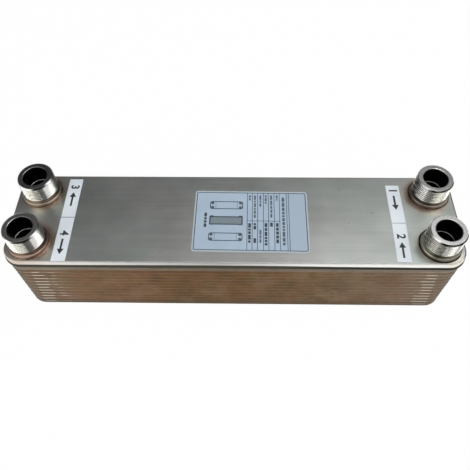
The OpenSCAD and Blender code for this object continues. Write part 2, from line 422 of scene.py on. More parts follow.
@dataclass(frozen=True)
class CoverSteel:
    """Satin sheet with faint brushing along its length, heat tint round the nozzles and a turned edge,
    with painted reflections, shade and shadow laid on it.

    Spans and bands run along X or up Z: a layer is absent at a span's first value and full at its second.
    """

    dark: Colour = (0.49, 0.51, 0.50)
    light: Colour = (0.60, 0.62, 0.61)
    greenish: Colour = (0.50, 0.56, 0.50)
    rosy: Colour = (0.60, 0.56, 0.54)
    straw: Colour = (0.58, 0.51, 0.42)
    brown: Colour = (0.34, 0.24, 0.18)
    # Tone of the painted reflections of the nozzles and the lamps on the sheet
    glow: Colour = (0.92, 0.86, 0.76)
    # Dark tone of the small marks and scratches, of the painted shadows and of the painted shade on the bend
    speck: Colour = (0.20, 0.20, 0.19)
    # Tones of the oxidation and painted shadow along the turned edge's foot
    oxide_shadow: Colour = (0.055, 0.055, 0.045)
    pale_oxide_shadow: Colour = (0.095, 0.09, 0.07)
    # Painted reflection on the turned edge, by place along X: darkest in the middle and brightest towards the
    # right end
    painted_edge_reflection: tuple[Stop, ...] = (
        (-168.0, (0.72, 0.61, 0.52)),
        (-150.0, (0.76, 0.65, 0.56)),
        (-132.0, (0.86, 0.80, 0.75)),
        (-105.0, (0.79, 0.78, 0.75)),
        (-10.0, (0.52, 0.52, 0.50)),
        (55.0, (0.92, 0.92, 0.89)),
        (105.0, (1.0, 1.0, 0.97)),
        (140.0, (1.0, 1.0, 0.95)),
        (160.0, (0.90, 0.87, 0.76)),
    )
    roughness: float = 0.40
    brushing: Grain = Grain(detail=2.0, stretch=(14.0, 1500.0, 1500.0))
    sheen: Grain = Grain(stretch=(6.0, 200.0, 200.0))
    clouds: Grain = Grain(26.0, 4.0, 0.6)
    casts: Grain = Grain(17.0, stretch=(1.0, 1.0, 1.0), shift=(0.7, 0.2, 0.0))
    scratches: Grain = Grain(detail=2.0, stretch=(38.0, 640.0, 0.0))
    ragged: Grain = Grain(190.0)
    dents: Grain = Grain(45.0, 2.0)
    brushing_depth: float = 0.010 * MM
    dent_depth: float = 0.10 * MM
    foot_radius: float = COLLAR_RADIUS
    tint_waver: float = 4.0 * MM
    worn: Band = (55.0 * MM, 75.0 * MM, 96.0 * MM, 112.0 * MM)
    bend: Span = (65.135 * MM, 65.12 * MM)
    bend_darkens: Span = (20.0 * MM, 80.0 * MM)
    edge: Span = (64.98 * MM, 64.94 * MM)
    oxide_shadow_top: Span = (62.15 * MM, 61.75 * MM)
    oxide_shadow_darkens: Span = (20.0 * MM, 90.0 * MM)
    oxide_shadow_waver: float = 0.8 * MM
    oxide_shadow_ends: Span = (157.0 * MM, 164.0 * MM)
    oxide_shadow_ends_climb: float = 1.4 * MM
    oxide_shadow_middle: float = -10.0 * MM
    oxide_shadow_middle_width: Span = (120.0 * MM, 10.0 * MM)
    oxide_shadow_middle_climb: float = 0.7 * MM
    shaded_bend_end: Span = (162.0 * MM, 165.0 * MM)
    tints: tuple[HeatTint, ...] = (
        HeatTint(Port.BACK_LEFT, 6.5 * MM, 0.75, (1.8 * MM, -0.6 * MM)),
        HeatTint(Port.BACK_RIGHT, 6.5 * MM, 0.95, (-2.2 * MM, -1.2 * MM)),
        HeatTint(Port.FRONT_LEFT, 8.0 * MM, 0.9, (2.2 * MM, 0.4 * MM)),
        HeatTint(Port.FRONT_RIGHT, 4.0 * MM, 0.35, (-1.6 * MM, -0.8 * MM)),
    )
    # Painted reflections: pale patches where the sheet mirrors the nozzles and the lamps
    painted_reflections: tuple[Speck, ...] = (
        Speck((-148.7 * MM, 4.4 * MM), 6.0 * MM, 0.50),
        Speck((-138.6 * MM, 8.4 * MM), 4.0 * MM, 0.25),
        Speck((-158.0 * MM, -34.0 * MM), 10.0 * MM, 0.60),
        Speck((159.0 * MM, -33.5 * MM), 10.0 * MM, 0.95),
        Speck((-134.6 * MM, -28.4 * MM), 5.5 * MM, 0.50),
        Speck((151.0 * MM, 4.6 * MM), 6.0 * MM, 0.25),
    )
    # Small dots are marks on the sheet; the wide soft spots left of the front right nozzle and between each
    # pair of nozzles are painted shadow
    specks_and_shadows: tuple[Speck, ...] = (
        Speck((103.5 * MM, 4.9 * MM), 1.0 * MM, 0.75),
        Speck((85.4 * MM, -4.3 * MM), 0.8 * MM, 0.55),
        Speck((-52.4 * MM, -29.8 * MM), 0.9 * MM, 0.5),
        Speck((81.0 * MM, 26.6 * MM), 2.2 * MM, 0.18),
        Speck((133.0 * MM, -29.0 * MM), 7.0 * MM, 0.30),
        Speck((-138.0 * MM, -1.0 * MM), 10.0 * MM, 0.30),
        Speck((135.0 * MM, 0.5 * MM), 9.0 * MM, 0.14),
        Speck((66.5 * MM, 11.0 * MM), 1.8 * MM, 0.14),
        Speck((-75.0 * MM, -16.5 * MM), 1.4 * MM, 0.16),
    )

    def build(self) -> bpy.types.Material:
        """Makes the material.

        Returns:
            The material. Its brushing is noise drawn out along X, each port's tint fades with the distance
            from a point beside the port's axis, and below the bend a painted reflection on the edge runs from
            one tone to another.
        """
        skin = Skin("cover_steel", self.dark)
        fine = skin.grain(self.brushing)
        cloud = skin.grain(self.clouds)
        self._sheet(skin, fine, cloud)
        self._tint(skin)
        self._mark(skin)
        dull = self._edge(skin, cloud)
        rough = self.roughness + (fine - 0.5) * 0.10 + (cloud - 0.5) * 0.12 + dull
        normal = skin.bump(fine, self.brushing_depth, skin.bump(skin.grain(self.dents), self.dent_depth))
        return skin.finish({"Metallic": 1.0, "Roughness": rough, "Normal": normal})

    def _sheet(self, skin: Skin, fine: Wire, cloud: Wire) -> None:
        """Colours the bare sheet, with a greenish or rosy cast in places and scratches in one field.

        Args:
            skin: the material in the making.
            fine: the brushing's noise.
            cloud: the clouds' noise.
        """
        x, _, _ = skin.axes()
        skin.lay((fine * 0.25 + skin.grain(self.sheen) * 0.25 + cloud * 0.5).rise(0.36, 0.64), self.light)
        cast = skin.grain(self.casts)
        skin.lay(cast.rise(0.42, 0.62) * 0.35, self.greenish)
        skin.lay(cast.rise(0.56, 0.38) * 0.30, self.rosy)
        skin.lay(skin.grain(self.scratches).rise(0.62, 0.76) * x.band(*self.worn) * 0.22, self.speck)

    def _tint(self, skin: Skin) -> None:
        """Lays the heat tint over the sheet: straw outside, brown close to the nozzle's foot.

        Args:
            skin: the material in the making.
        """
        ragged = (skin.grain(self.ragged) - 0.5) * self.tint_waver
        tint = None
        scorch = None
        for mark in self.tints:
            centre = (mark.port.place[0] + mark.shift[0], mark.port.place[1] + mark.shift[1])
            away = skin.radius_from(centre) + ragged - self.foot_radius
            halo = away.rise(mark.reach, 0.0) * mark.strength
            burn = away.rise(0.5 * mark.reach, -1.0 * MM) * mark.strength
            tint = halo if tint is None else tint.larger(halo)
            scorch = burn if scorch is None else scorch.larger(burn)
        skin.lay(tint * 0.75, self.straw)
        skin.lay(scorch * 0.85, self.brown)

    def _mark(self, skin: Skin) -> None:
        """Adds painted reflections, pale and full at their middle, and dark spots that are full over a
        quarter of it: small marks and painted shadows.

        Args:
            skin: the material in the making.
        """
        for marks, tone, core in ((self.painted_reflections, self.glow, 0.0), (self.specks_and_shadows, self.speck, 0.25)):
            for mark in marks:
                away = skin.radius_from(mark.centre)
                skin.lay(away.rise(mark.radius, core * mark.radius) * mark.depth, tone)

    def _edge(self, skin: Skin, cloud: Wire) -> Wire:
        """Lays painted shade on the bend, a painted reflection on the turned edge, and oxidation with painted
        shadow along the edge's foot.

        Args:
            skin: the material in the making.
            cloud: the clouds' noise, which makes the upper limit of the oxidation and shadow ragged.

        Returns:
            How much duller the sheet is there.
        """
        x, _, z = skin.axes()
        bend = z.rise(*self.bend)
        # Painted shade on the bend's top, darker towards the right
        skin.lay(bend * (0.45 + x.rise(*self.bend_darkens) * 0.20), self.speck)
        # Painted reflection on the turned edge below the bend
        skin.lay(z.rise(*self.edge), skin.tones_along(x, self.painted_edge_reflection))
        # Oxidation with painted shadow under the cover's edge along its foot, reaching higher at the ends and
        # in the middle
        middle = (x - self.oxide_shadow_middle).size().rise(*self.oxide_shadow_middle_width)
        climb = x.size().rise(*self.oxide_shadow_ends) * self.oxide_shadow_ends_climb + middle * self.oxide_shadow_middle_climb
        oxide_and_shade = (z + (cloud - 0.5) * self.oxide_shadow_waver - climb).rise(*self.oxide_shadow_top)
        # Painted shade on the bend at the right end
        oxide_and_shade = oxide_and_shade.larger(bend * x.rise(*self.shaded_bend_end) * 0.9)
        skin.lay(oxide_and_shade, skin.mix(x.rise(*self.oxide_shadow_darkens), self.pale_oxide_shadow, self.oxide_shadow))
        return oxide_and_shade * 0.2 + bend * 0.12


@dataclass(frozen=True)
class StainedSteel:
    """Steel that the copper braze has stained brown, with olive, red and pale patches, and with painted
    highlights, glints and shade on its skirts.

    Spans and bands run along X from the body's middle, and shadows up Z from the level before them.
    """

    name: str
    along: tuple[Stop, ...]
    red: Colour
    olive: Colour
    # Tone of the painted highlight at each skirt's foot
    pale: Colour
    shade: Colour
    patches: float
    stripes: float = 0.54
    # Tone of the painted glints on the lips near the body's corners
    glint: Colour = (0.95, 0.90, 0.78)
    dark_brown: Colour = (0.10, 0.055, 0.024)
    rosy: Colour = (0.25, 0.15, 0.10)
    roughness: float = 0.46
    red_grain: Grain = Grain(detail=4.0, roughness=0.6, stretch=(30.0, 30.0, 50.0))
    olive_grain: Grain = Grain(roughness=0.6, stretch=(44.0, 44.0, 48.0), shift=(3.1, 1.7, 5.3))
    drawn_grain: Grain = Grain(roughness=0.6, stretch=(24.0, 34.0, 150.0), shift=(7.4, 2.9, 1.2))
    burnt_grain: Grain = Grain(detail=4.0, roughness=0.6, stretch=(62.0, 62.0, 58.0), shift=(2.3, 6.1, 4.7))
    fine_grain: Grain = Grain(stretch=(160.0, 160.0, 700.0))
    upright_grain: Grain = Grain(detail=2.0, stretch=(420.0, 420.0, 60.0))
    first_edge: float = 6.37 * MM
    edge_pitch: float = 4.74 * MM
    edge_slack: float = 0.06 * MM
    foot_level: float = 5.6 * MM
    foot_shadow: Span = (0.6 * MM, -0.8 * MM)
    under_cover: float = 53.77 * MM
    cover_shadow: Band = (-1.3 * MM, -0.5 * MM, -0.1 * MM, 0.05 * MM)
    tone_waver: float = 34.0 * MM
    relief: float = 0.03 * MM
    shaded_middle: Span = (110.0 * MM, 50.0 * MM)
    highlight_ends: Span = (116.0 * MM, 136.0 * MM)
    stripes_from: Span = (140.5 * MM, 143.5 * MM)
    stripes_to: Span = (154.2 * MM, 152.4 * MM)
    stripe_waver: float = 16.0 * MM
    stripe_leans: tuple[float, float] = (0.05, 0.11)
    left_stripes: Band = (-138.5 * MM, -136.5 * MM, -133.0 * MM, -131.0 * MM)
    dark_ends: Span = (152.0 * MM, 160.0 * MM)
    dark_corners: Span = (160.5 * MM, 163.5 * MM)

    def build(self) -> bpy.types.Material:
        """Makes the material.

        Returns:
            The material. A row of tones runs along X, darker in the middle as painted shade, and noise drawn
            out the same way lays patches over it. Each long skirt has a painted highlight on its lowest
            millimetre and painted shade just under the next skirt's edge.
        """
        skin = Skin(self.name)
        x, _, _ = skin.axes()
        blotch = skin.grain(self.red_grain)
        drawn = skin.grain(self.drawn_grain)
        grain = skin.grain(self.fine_grain)
        upright = skin.grain(self.upright_grain)
        skin.colour = skin.tones_along(x + (blotch - 0.5) * self.tone_waver, self.along)
        skin.lay(blotch.rise(0.50, 0.64) * self.patches, self.red)
        self._patch(skin, drawn)
        skin.lay(((grain - 0.5) * 1.1 + (upright - 0.5) * 0.5).rise(0.02, 0.40) * 0.35, self.shade)
        self._skirts(skin, drawn, grain)
        rough = self.roughness + (grain - 0.5) * 0.16 + (blotch - 0.5) * 0.12
        normal = skin.bump(grain * 0.7 + upright * 0.3, self.relief)
        return skin.finish({"Metallic": 0.9, "Roughness": rough, "Normal": normal})

    def _patch(self, skin: Skin, drawn: Wire) -> None:
        """Lays olive, dark brown and rosy patches, the dark ones most densely in the body's middle, which
        adds painted shade there.

        Args:
            skin: the material in the making.
            drawn: the noise of the drawn-out dark patches.
        """
        x, _, _ = skin.axes()
        skin.lay(skin.grain(self.olive_grain).rise(0.51, 0.64) * self.patches, self.olive)
        skin.lay(drawn.rise(0.52, 0.66) * (0.5 * self.patches), self.dark_brown)
        burnt = skin.grain(self.burnt_grain)
        density = (0.5 + x.size().rise(*self.shaded_middle) * 0.7) * self.patches
        skin.lay(burnt.rise(0.50, 0.64) * density, self.dark_brown)
        skin.lay(burnt.rise(0.49, 0.35) * (0.8 * self.patches), self.rosy)

    def _skirts(self, skin: Skin, drawn: Wire, grain: Wire) -> None:
        """Tones each skirt by its height over its own edge: a painted highlight on its lowest part and
        painted shade just under the next skirt's edge. Adds painted shade under the cover, painted glints
        near the corners and painted shade on the body's ends and foot.

        Args:
            skin: the material in the making.
            drawn: the drawn-out noise, which gives the stripes of painted glint uneven ends.
            grain: the fine noise.
        """
        x, _, z = skin.axes()
        out = x.size()
        rise = z - self.first_edge
        phase = ((rise + self.edge_slack) / self.edge_pitch).fraction()
        # Painted highlight on each skirt's lowest part, strongest towards the body's ends
        lit = phase.rise(0.30, 0.14) * (0.30 + out.rise(*self.highlight_ends) * 0.55 * grain.rise(0.25, 0.6))
        skin.lay(lit, self.pale)
        # Painted shade just under the next skirt's edge
        skin.lay(phase.rise(0.80, 0.97) * 0.6, self.shade)
        skin.lay((z - self.under_cover).band(*self.cover_shadow) * 0.5, self.shade)
        # Painted glints in stripes near the corners, with uneven ends
        inner, outer = (out + rise * lean for lean in self.stripe_leans)
        stripe = ((drawn - 0.5) * self.stripe_waver + inner).rise(*self.stripes_from)
        stripe = stripe * outer.rise(*self.stripes_to)
        stripe = stripe.larger(x.band(*self.left_stripes) * grain.rise(0.42, 0.6) * 0.5)
        skin.lay(phase.rise(0.20, 0.14) * stripe * self.stripes, self.glint)
        # Painted shade towards the body's ends and on its corners
        skin.lay(out.rise(*self.dark_ends) * 0.25 + out.rise(*self.dark_corners) * 0.55, self.shade)
        skin.lay((z - self.foot_level).rise(*self.foot_shadow) * 0.4, self.shade)


@dataclass(frozen=True)
class Streak:
    """A streak down one side of a nozzle. Its place and widths are in degrees."""

    azimuth: float
    half_width: float
    soft: float
    depth: float


@dataclass(frozen=True)
class TurnedSteel:
    """Bright turned steel with fine lathe lines, stained by the braze at its foot, with painted reflections,
    highlights and shade laid round it by azimuth.

    Spans named top run up Z from the nozzle's tip, and the others from the level or radius before them.
    """

    port: Port
    stain: Colour
    painted_dark_streaks: tuple[Streak, ...]
    warm_side: float
    tip_shadows: tuple[Streak, ...]
    lined: Streak
    # The rim's tone: a painted reflection, which differs from nozzle to nozzle
    rim: Colour
    foot_light_and_shade: tuple[tuple[Streak, Colour], ...] = ()
    line_floor: float = 0.38
    side_highlights: tuple[Streak, ...] = ()
    lip_glint: Streak | None = None
    bright: Colour = (0.86, 0.855, 0.84)
    warm: Colour = (0.88, 0.86, 0.75)
    dull: Colour = (0.68, 0.675, 0.65)
    # Dark tone of the painted dark reflections, and of the painted shade in the thread's roots and at the
    # bore's lip
    painted_shade: Colour = (0.13, 0.13, 0.115)
    black: Colour = (0.015, 0.015, 0.013)
    shine: Colour = (1.0, 0.98, 0.92)
    # Painted shade inside the bore
    bore: Colour = (0.02, 0.02, 0.02)
    # Lighter painted shade on the ledge at the bore's foot
    ledge: Colour = (0.42, 0.42, 0.41)
    roughness: float = 0.24
    rim_roughness: float = 0.28
    lathe_lines: Grain = Grain(detail=2.0, stretch=(24.0, 5200.0, 0.0))
    lathe_depth: float = 0.008 * MM
    clouds: Grain = Grain(120.0)
    stain_shade_top: float = 68.2 * MM
    stain_shade_fade: Span = (0.7 * MM, 0.1 * MM)
    stain_shade_waver: float = 0.5 * MM
    thread_foot: float = 70.0 * MM
    thread_fade: Span = (-1.6 * MM, -0.6 * MM)
    tip_bevel: float = TIP_BEVEL
    bevel_top: Span = (-0.04 * MM, -0.005 * MM)
    crest_radius: float = CREST_RADIUS
    crest_fade: Span = (-1.5 * MM, -1.2 * MM)
    rim_top: Span = (-0.35 * MM, -0.1 * MM)
    lip_top: Span = (-0.7 * MM, -0.5 * MM)
    lip_width: Span = (0.72 * MM, 0.60 * MM)
    bore_radius: float = BORE_RADIUS
    bore_top: Span = (-0.15 * MM, -0.3 * MM)
    bore_fade: Span = (0.30 * MM, 0.15 * MM)
    ledge_level: float = TIP_LEVEL - BORE_DEPTH
    ledge_fade: Span = (0.5 * MM, 0.2 * MM)

    def build(self) -> bpy.types.Material:
        """Makes the material.

        Returns:
            The material. The lathe lines are noise on the UV map, which runs round the nozzle and along
            its profile. The mesh's own number "root" is 0 on the thread's crests and 1 in its roots.
        """
        skin = Skin(f"nozzle_steel_{self.port.label}", self.dull)
        _, _, z = skin.axes()
        drop = z - TIP_LEVEL
        lathe = skin.grain_along(self.lathe_lines)
        cloud = skin.grain(self.clouds)
        side = drop.rise(-0.6 * self.tip_bevel, -1.4 * self.tip_bevel)
        skin.lay((lathe * 0.4 + cloud * 0.6).rise(0.35, 0.65), self.bright)
        self._side(skin, side)
        # Braze staining on the collar; on the right-hand nozzles its dark tone is also painted shade that
        # dulls the collar's reflection
        foot = (z - self.stain_shade_top + (cloud - 0.5) * self.stain_shade_waver).rise(*self.stain_shade_fade)
        skin.lay(foot * 0.92, self.stain)
        # Painted light on the foot by azimuth: a painted shadow on the left nozzles, a painted highlight on
        # the front right one
        for streak, tone in self.foot_light_and_shade:
            skin.lay(foot * self._along(skin, streak), tone)
        self._tip(skin, drop)
        # Painted shade inside the bore, lighter on the ledge at its foot
        inside = (skin.radius_from(self.port.place) - self.bore_radius).rise(*self.bore_fade)
        inside = inside * drop.rise(*self.bore_top)
        skin.lay(inside, self.bore)
        skin.lay((z - self.ledge_level).size().rise(*self.ledge_fade) * inside, self.ledge)
        rough = self.roughness + (lathe - 0.5) * 0.10 + (cloud - 0.5) * 0.08
        rough = rough + (1 - side) * (self.rim_roughness - self.roughness) + foot * 0.14 + inside * 0.15
        normal = skin.bump(lathe, self.lathe_depth)
        return skin.finish({"Metallic": 1.0, "Roughness": rough, "Normal": normal})

    def _side(self, skin: Skin, side: Wire) -> None:
        """Colours the side: a warm cast, painted dark reflections in bands down it, painted shade in the
        thread's roots and painted highlights.

        Args:
            skin: the material in the making.
            side: 1 below the tip's bevel.
        """
        _, _, z = skin.axes()
        skin.lay(skin.facing(self.port.place, self.warm_side).rise(0.2, 0.8) * side * 0.8, self.warm)
        threaded = side * (z - self.thread_foot).rise(*self.thread_fade)
        # Painted dark reflections in bands down the threaded side
        for streak in self.painted_dark_streaks:
            skin.lay(self._along(skin, streak) * threaded, self.painted_shade)
        # Painted shade in the thread's roots, strongest over one band of azimuth
        lines = self._along(skin, self.lined).larger(self.line_floor)
        skin.lay(skin.attribute("root").rise(0.35, 0.7) * lines, self.painted_shade)
        # Painted highlights on the threaded side
        for streak in self.side_highlights:
            skin.lay(self._along(skin, streak) * threaded, self.shine)

    def _tip(self, skin: Skin, drop: Wire) -> None:
        """Colours the rim with a painted reflection, the shadows on the tip's bevel and painted shade on the
        bore's lip.

        Args:
            skin: the material in the making.
            drop: height over the tip, which is negative below it.
        """
        away = skin.radius_from(self.port.place)
        # Painted reflection on the rim
        skin.lay(drop.rise(*self.rim_top) * 0.9, self.rim)
        bevel = drop.band(-1.5 * self.tip_bevel, -1.25 * self.tip_bevel, *self.bevel_top)
        bevel = bevel * (away - self.crest_radius).rise(*self.crest_fade)
        for streak in self.tip_shadows:
            skin.lay(bevel * self._along(skin, streak), self.black)
        lip = (away - self.bore_radius).rise(*self.lip_width) * drop.rise(*self.lip_top)
        if self.lip_glint is not None:
            lip = lip * (1 - self._along(skin, self.lip_glint))
        skin.lay(lip * 0.8, self.painted_shade)

    def _along(self, skin: Skin, streak: Streak) -> Wire:
        """How strongly a streak lies on each place round the nozzle.

        Args:
            skin: the material in the making.
            streak: the streak.

        Returns:
            Its depth where it is full, and 0 outside it.
        """
        outer = math.cos(math.radians(streak.half_width + streak.soft))
        inner = math.cos(math.radians(streak.half_width - streak.soft))
        return skin.facing(self.port.place, streak.azimuth).rise(outer, inner) * streak.depth


@dataclass(frozen=True)
class CopperBraze:
    """Dull copper that has run into a corner and tarnished. Its darkest tones are painted shade in the
    corner.
    """

    port: Port
    copper: Colour
    tarnish_and_shade: Colour
    roughness: float = 0.38
    clouds: Grain = Grain(160.0, 4.0, 0.6)
    grains: Grain = Grain(900.0, 2.0)
    relief: float = 0.08 * MM

    def build(self) -> bpy.types.Material:
        """Makes the material.

        Returns:
            The material. One noise mixes clean and tarnished copper, and both roughen it.
        """
        skin = Skin(f"braze_copper_{self.port.label}", self.tarnish_and_shade)
        cloud = skin.grain(self.clouds)
        grain = skin.grain(self.grains)
        skin.lay(cloud.rise(0.36, 0.62), self.copper)
        rough = self.roughness + (cloud - 0.5) * 0.2 + (grain - 0.5) * 0.1
        normal = skin.bump(grain * 0.4 + cloud * 0.6, self.relief)
        return skin.finish({"Metallic": 1.0, "Roughness": rough, "Normal": normal})


@dataclass(frozen=True)
class LabelFilm:
    """Satin printed film or laminated tape."""

    name: str
    colour: Colour
    shade: Colour
    roughness: float
    coat: float = 0.0
    clouds: Grain = Grain(70.0)
    grains: Grain = Grain(1500.0, 2.0)
    wave_depth: float = 0.05 * MM
    grain_depth: float = 0.006 * MM

    def build(self) -> bpy.types.Material:
        """Makes the material.

        Returns:
            The material. A faint cloud tones the film, and a fine grain roughens it.
        """
        skin = Skin(self.name, self.shade)
        cloud = skin.grain(self.clouds)
        grain = skin.grain(self.grains)
        skin.lay(cloud.rise(0.3, 0.7), self.colour)
        self.tone(skin)
        rough = self.roughness + (grain - 0.5) * 0.08
        normal = skin.bump(cloud, self.wave_depth, skin.bump(grain, self.grain_depth))
        return skin.finish({"Roughness": rough, "Coat Weight": self.coat, "Normal": normal})

    def tone(self, skin: Skin) -> None:
        """Lays what else is printed on the film, which is nothing on a plain one."""


@dataclass(frozen=True)
class FramedFilm(LabelFilm):
    """Film with a pale margin outside its frame line and a cooler blank field at one end."""

    margin: Colour = (0.47, 0.55, 0.60)
    field: Colour = (0.41, 0.51, 0.61)
    field_from: Span = (23.0 * MM, 31.0 * MM)
    margin_from: Span = (-0.05 * MM, 0.15 * MM)

    def tone(self, skin: Skin) -> None:
        """Adds the field and the margin, by place on the label.

        Args:
            skin: the material in the making.
        """
        c, s = math.cos(math.radians(LABEL_TURN)), math.sin(math.radians(LABEL_TURN))
        x, y, _ = skin.axes()
        along = (x - LABEL_CENTRE[0]) * c + (y - LABEL_CENTRE[1]) * s
        across = (y - LABEL_CENTRE[1]) * c - (x - LABEL_CENTRE[0]) * s
        skin.lay(along.rise(*self.field_from), self.field)
        outside = (along.size() - LABEL_FRAME[0]).larger(across.size() - LABEL_FRAME[1])
        skin.lay(outside.rise(*self.margin_from), self.margin)


@dataclass(frozen=True)
class PrintInk:
    """Ink of one colour, slightly uneven."""

    name: str
    colour: Colour
    faded: Colour
    roughness: float = 0.5
    patches: Grain = Grain(1100.0, 2.0)

    def build(self) -> bpy.types.Material:
        """Makes the material.

        Returns:
            The material. Noise at the scale of the print mixes full and faded ink.
        """
        skin = Skin(self.name, self.colour)
        patchy = skin.grain(self.patches)
        skin.lay(patchy.rise(0.35, 0.75), self.faded)
        return skin.finish({"Roughness": self.roughness + (patchy - 0.5) * 0.1})


def linked(name: str, data: bpy.types.ID) -> bpy.types.Object:
    """Makes an object of a mesh, text, light or camera, and links it to the scene."""
    made = bpy.data.objects.new(name, data)
    bpy.context.scene.collection.objects.link(made)
    return made


def mesh_object(name: str, points: np.ndarray, faces: np.ndarray,
                smooth: float | None = None) -> bpy.types.Object:
    """Makes a mesh object at the origin.

    Args:
        name: the object's name.
        points: its corners, one row of three numbers each.
        faces: its faces, one row of corner numbers each.
        smooth: faces that meet at less than this angle in degrees look smooth, and None leaves all flat.

    Returns:
        The object, linked to the scene.
    """
    mesh = bpy.data.meshes.new(name)
    mesh.from_pydata(points.tolist(), [], faces.tolist())
    mesh.validate()
    if smooth is not None:
        mesh.shade_smooth()
        mesh.set_sharp_from_angle(angle=math.radians(smooth))
    return linked(name, mesh)


def grid_faces(rows: int, columns: int, closed_rows: bool, closed_columns: bool,
               start: int = 0) -> np.ndarray:
    """Faces of a grid of corners that are numbered row by row.

    Each face joins corner (i, j) to (i + 1, j), (i + 1, j + 1) and (i, j + 1), and a closed direction
    joins the last corner to the first.

    Args:
        rows: corners along the first direction.
        columns: corners along the second direction.
        closed_rows: whether the first direction is closed.
        closed_columns: whether the second direction is closed.
        start: the first corner's number.

    Returns:
        One row of four corner numbers for each face.
    """
    i = np.arange(rows if closed_rows else rows - 1)
    j = np.arange(columns if closed_columns else columns - 1)
    first, second = np.meshgrid(i, j, indexing="ij")
    after_first = (first + 1) % rows
    after_second = (second + 1) % columns
    quads = [first * columns + second, after_first * columns + second,
             after_first * columns + after_second, first * columns + after_second]
    return start + np.stack(quads, axis=-1).reshape(-1, 4)


def lay_uv(piece: bpy.types.Object, places: np.ndarray) -> None:
    """Gives a mesh a UV map with one place for each corner of each face, in face order."""
    layer = piece.data.uv_layers.new(name="along")
    layer.data.foreach_set("uv", places.astype(np.float32).ravel())


def sines(way: np.ndarray, counts: tuple[int, ...], phases: np.ndarray) -> np.ndarray:
    """Sum of sines that each go round a whole number of times, from a phase of their own."""
    return sum(np.sin(way * count + phase) for count, phase in zip(counts, phases))


def ride_root(piece: bpy.types.Object, material: bpy.types.Material,
              nodes: tuple[str, ...] = ()) -> None:
    """Dresses a finished piece and lets it ride on the body.

    Args:
        piece: the piece.
        material: its material.
        nodes: CAD nodes that it stands for.
    """
    piece.data.materials.clear()
    piece.data.materials.append(material)
    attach(piece, "root")
    if nodes:
        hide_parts(*nodes)
    LOG.info("%s: %d faces", piece.name, len(piece.data.polygons))


def dress_node(frame: dict, node: str, material: bpy.types.Material) -> None:
    """Gives a CAD node that stays a better material.

    Args:
        frame: the loaded frame.
        node: the node's name.
        material: its material.
    """
    for material_slot in frame["nodes"][node].material_slots:
        material_slot.material = material
    LOG.info("%s keeps its CAD shape", node)


@dataclass
class BodyOutline:
    """The rounded rectangle that the covers and all the plates follow."""

    middle_x: float = 152.7 * MM
    middle_y: float = 25.7 * MM
    long_steps: int = 60
    short_steps: int = 10
    corner_steps: int = 18

    def frame(self) -> tuple[np.ndarray, np.ndarray]:
        """Walks once round the outline, against the clock.

        A point of the outline at radius r is middle + r * direction. In a corner the middle is the
        corner's own and the direction turns through a quarter. Along a side the direction stays and the
        middle moves to the next corner's.

        Returns:
            The middles and the directions, one row each.
        """
        middles = []
        directions = []
        corners = np.array([(1, 1), (-1, 1), (-1, -1), (1, -1)]) * (self.middle_x, self.middle_y)
        for quarter, corner in enumerate(corners):
            angles = np.radians(90 * quarter) + np.linspace(0, math.pi / 2, self.corner_steps + 1)
            directions.append(np.stack([np.cos(angles), np.sin(angles)], axis=1))
            middles.append(np.repeat(corner[None], len(angles), axis=0))
            steps = self.long_steps if quarter % 2 == 0 else self.short_steps
            share = np.arange(1, steps)[:, None] / steps
            middles.append(corner + share * (corners[(quarter + 1) % 4] - corner))
            directions.append(np.repeat(directions[-1][-1:], steps - 1, axis=0))
        return np.vstack(middles), np.vstack(directions)

    def sweep(self, radii: np.ndarray, heights: np.ndarray) -> np.ndarray:
        """Carries profile points round the outline.

        Args:
            radii: distance of each point from the corners' middles, one row for each place on the way.
            heights: its height, of the same shape.

        Returns:
            Points as (places, profile points, 3).
        """
        middles, directions = self.frame()
        plan = middles[:, None] + radii[..., None] * directions[:, None]
        return np.concatenate([plan, heights[..., None]], axis=-1)


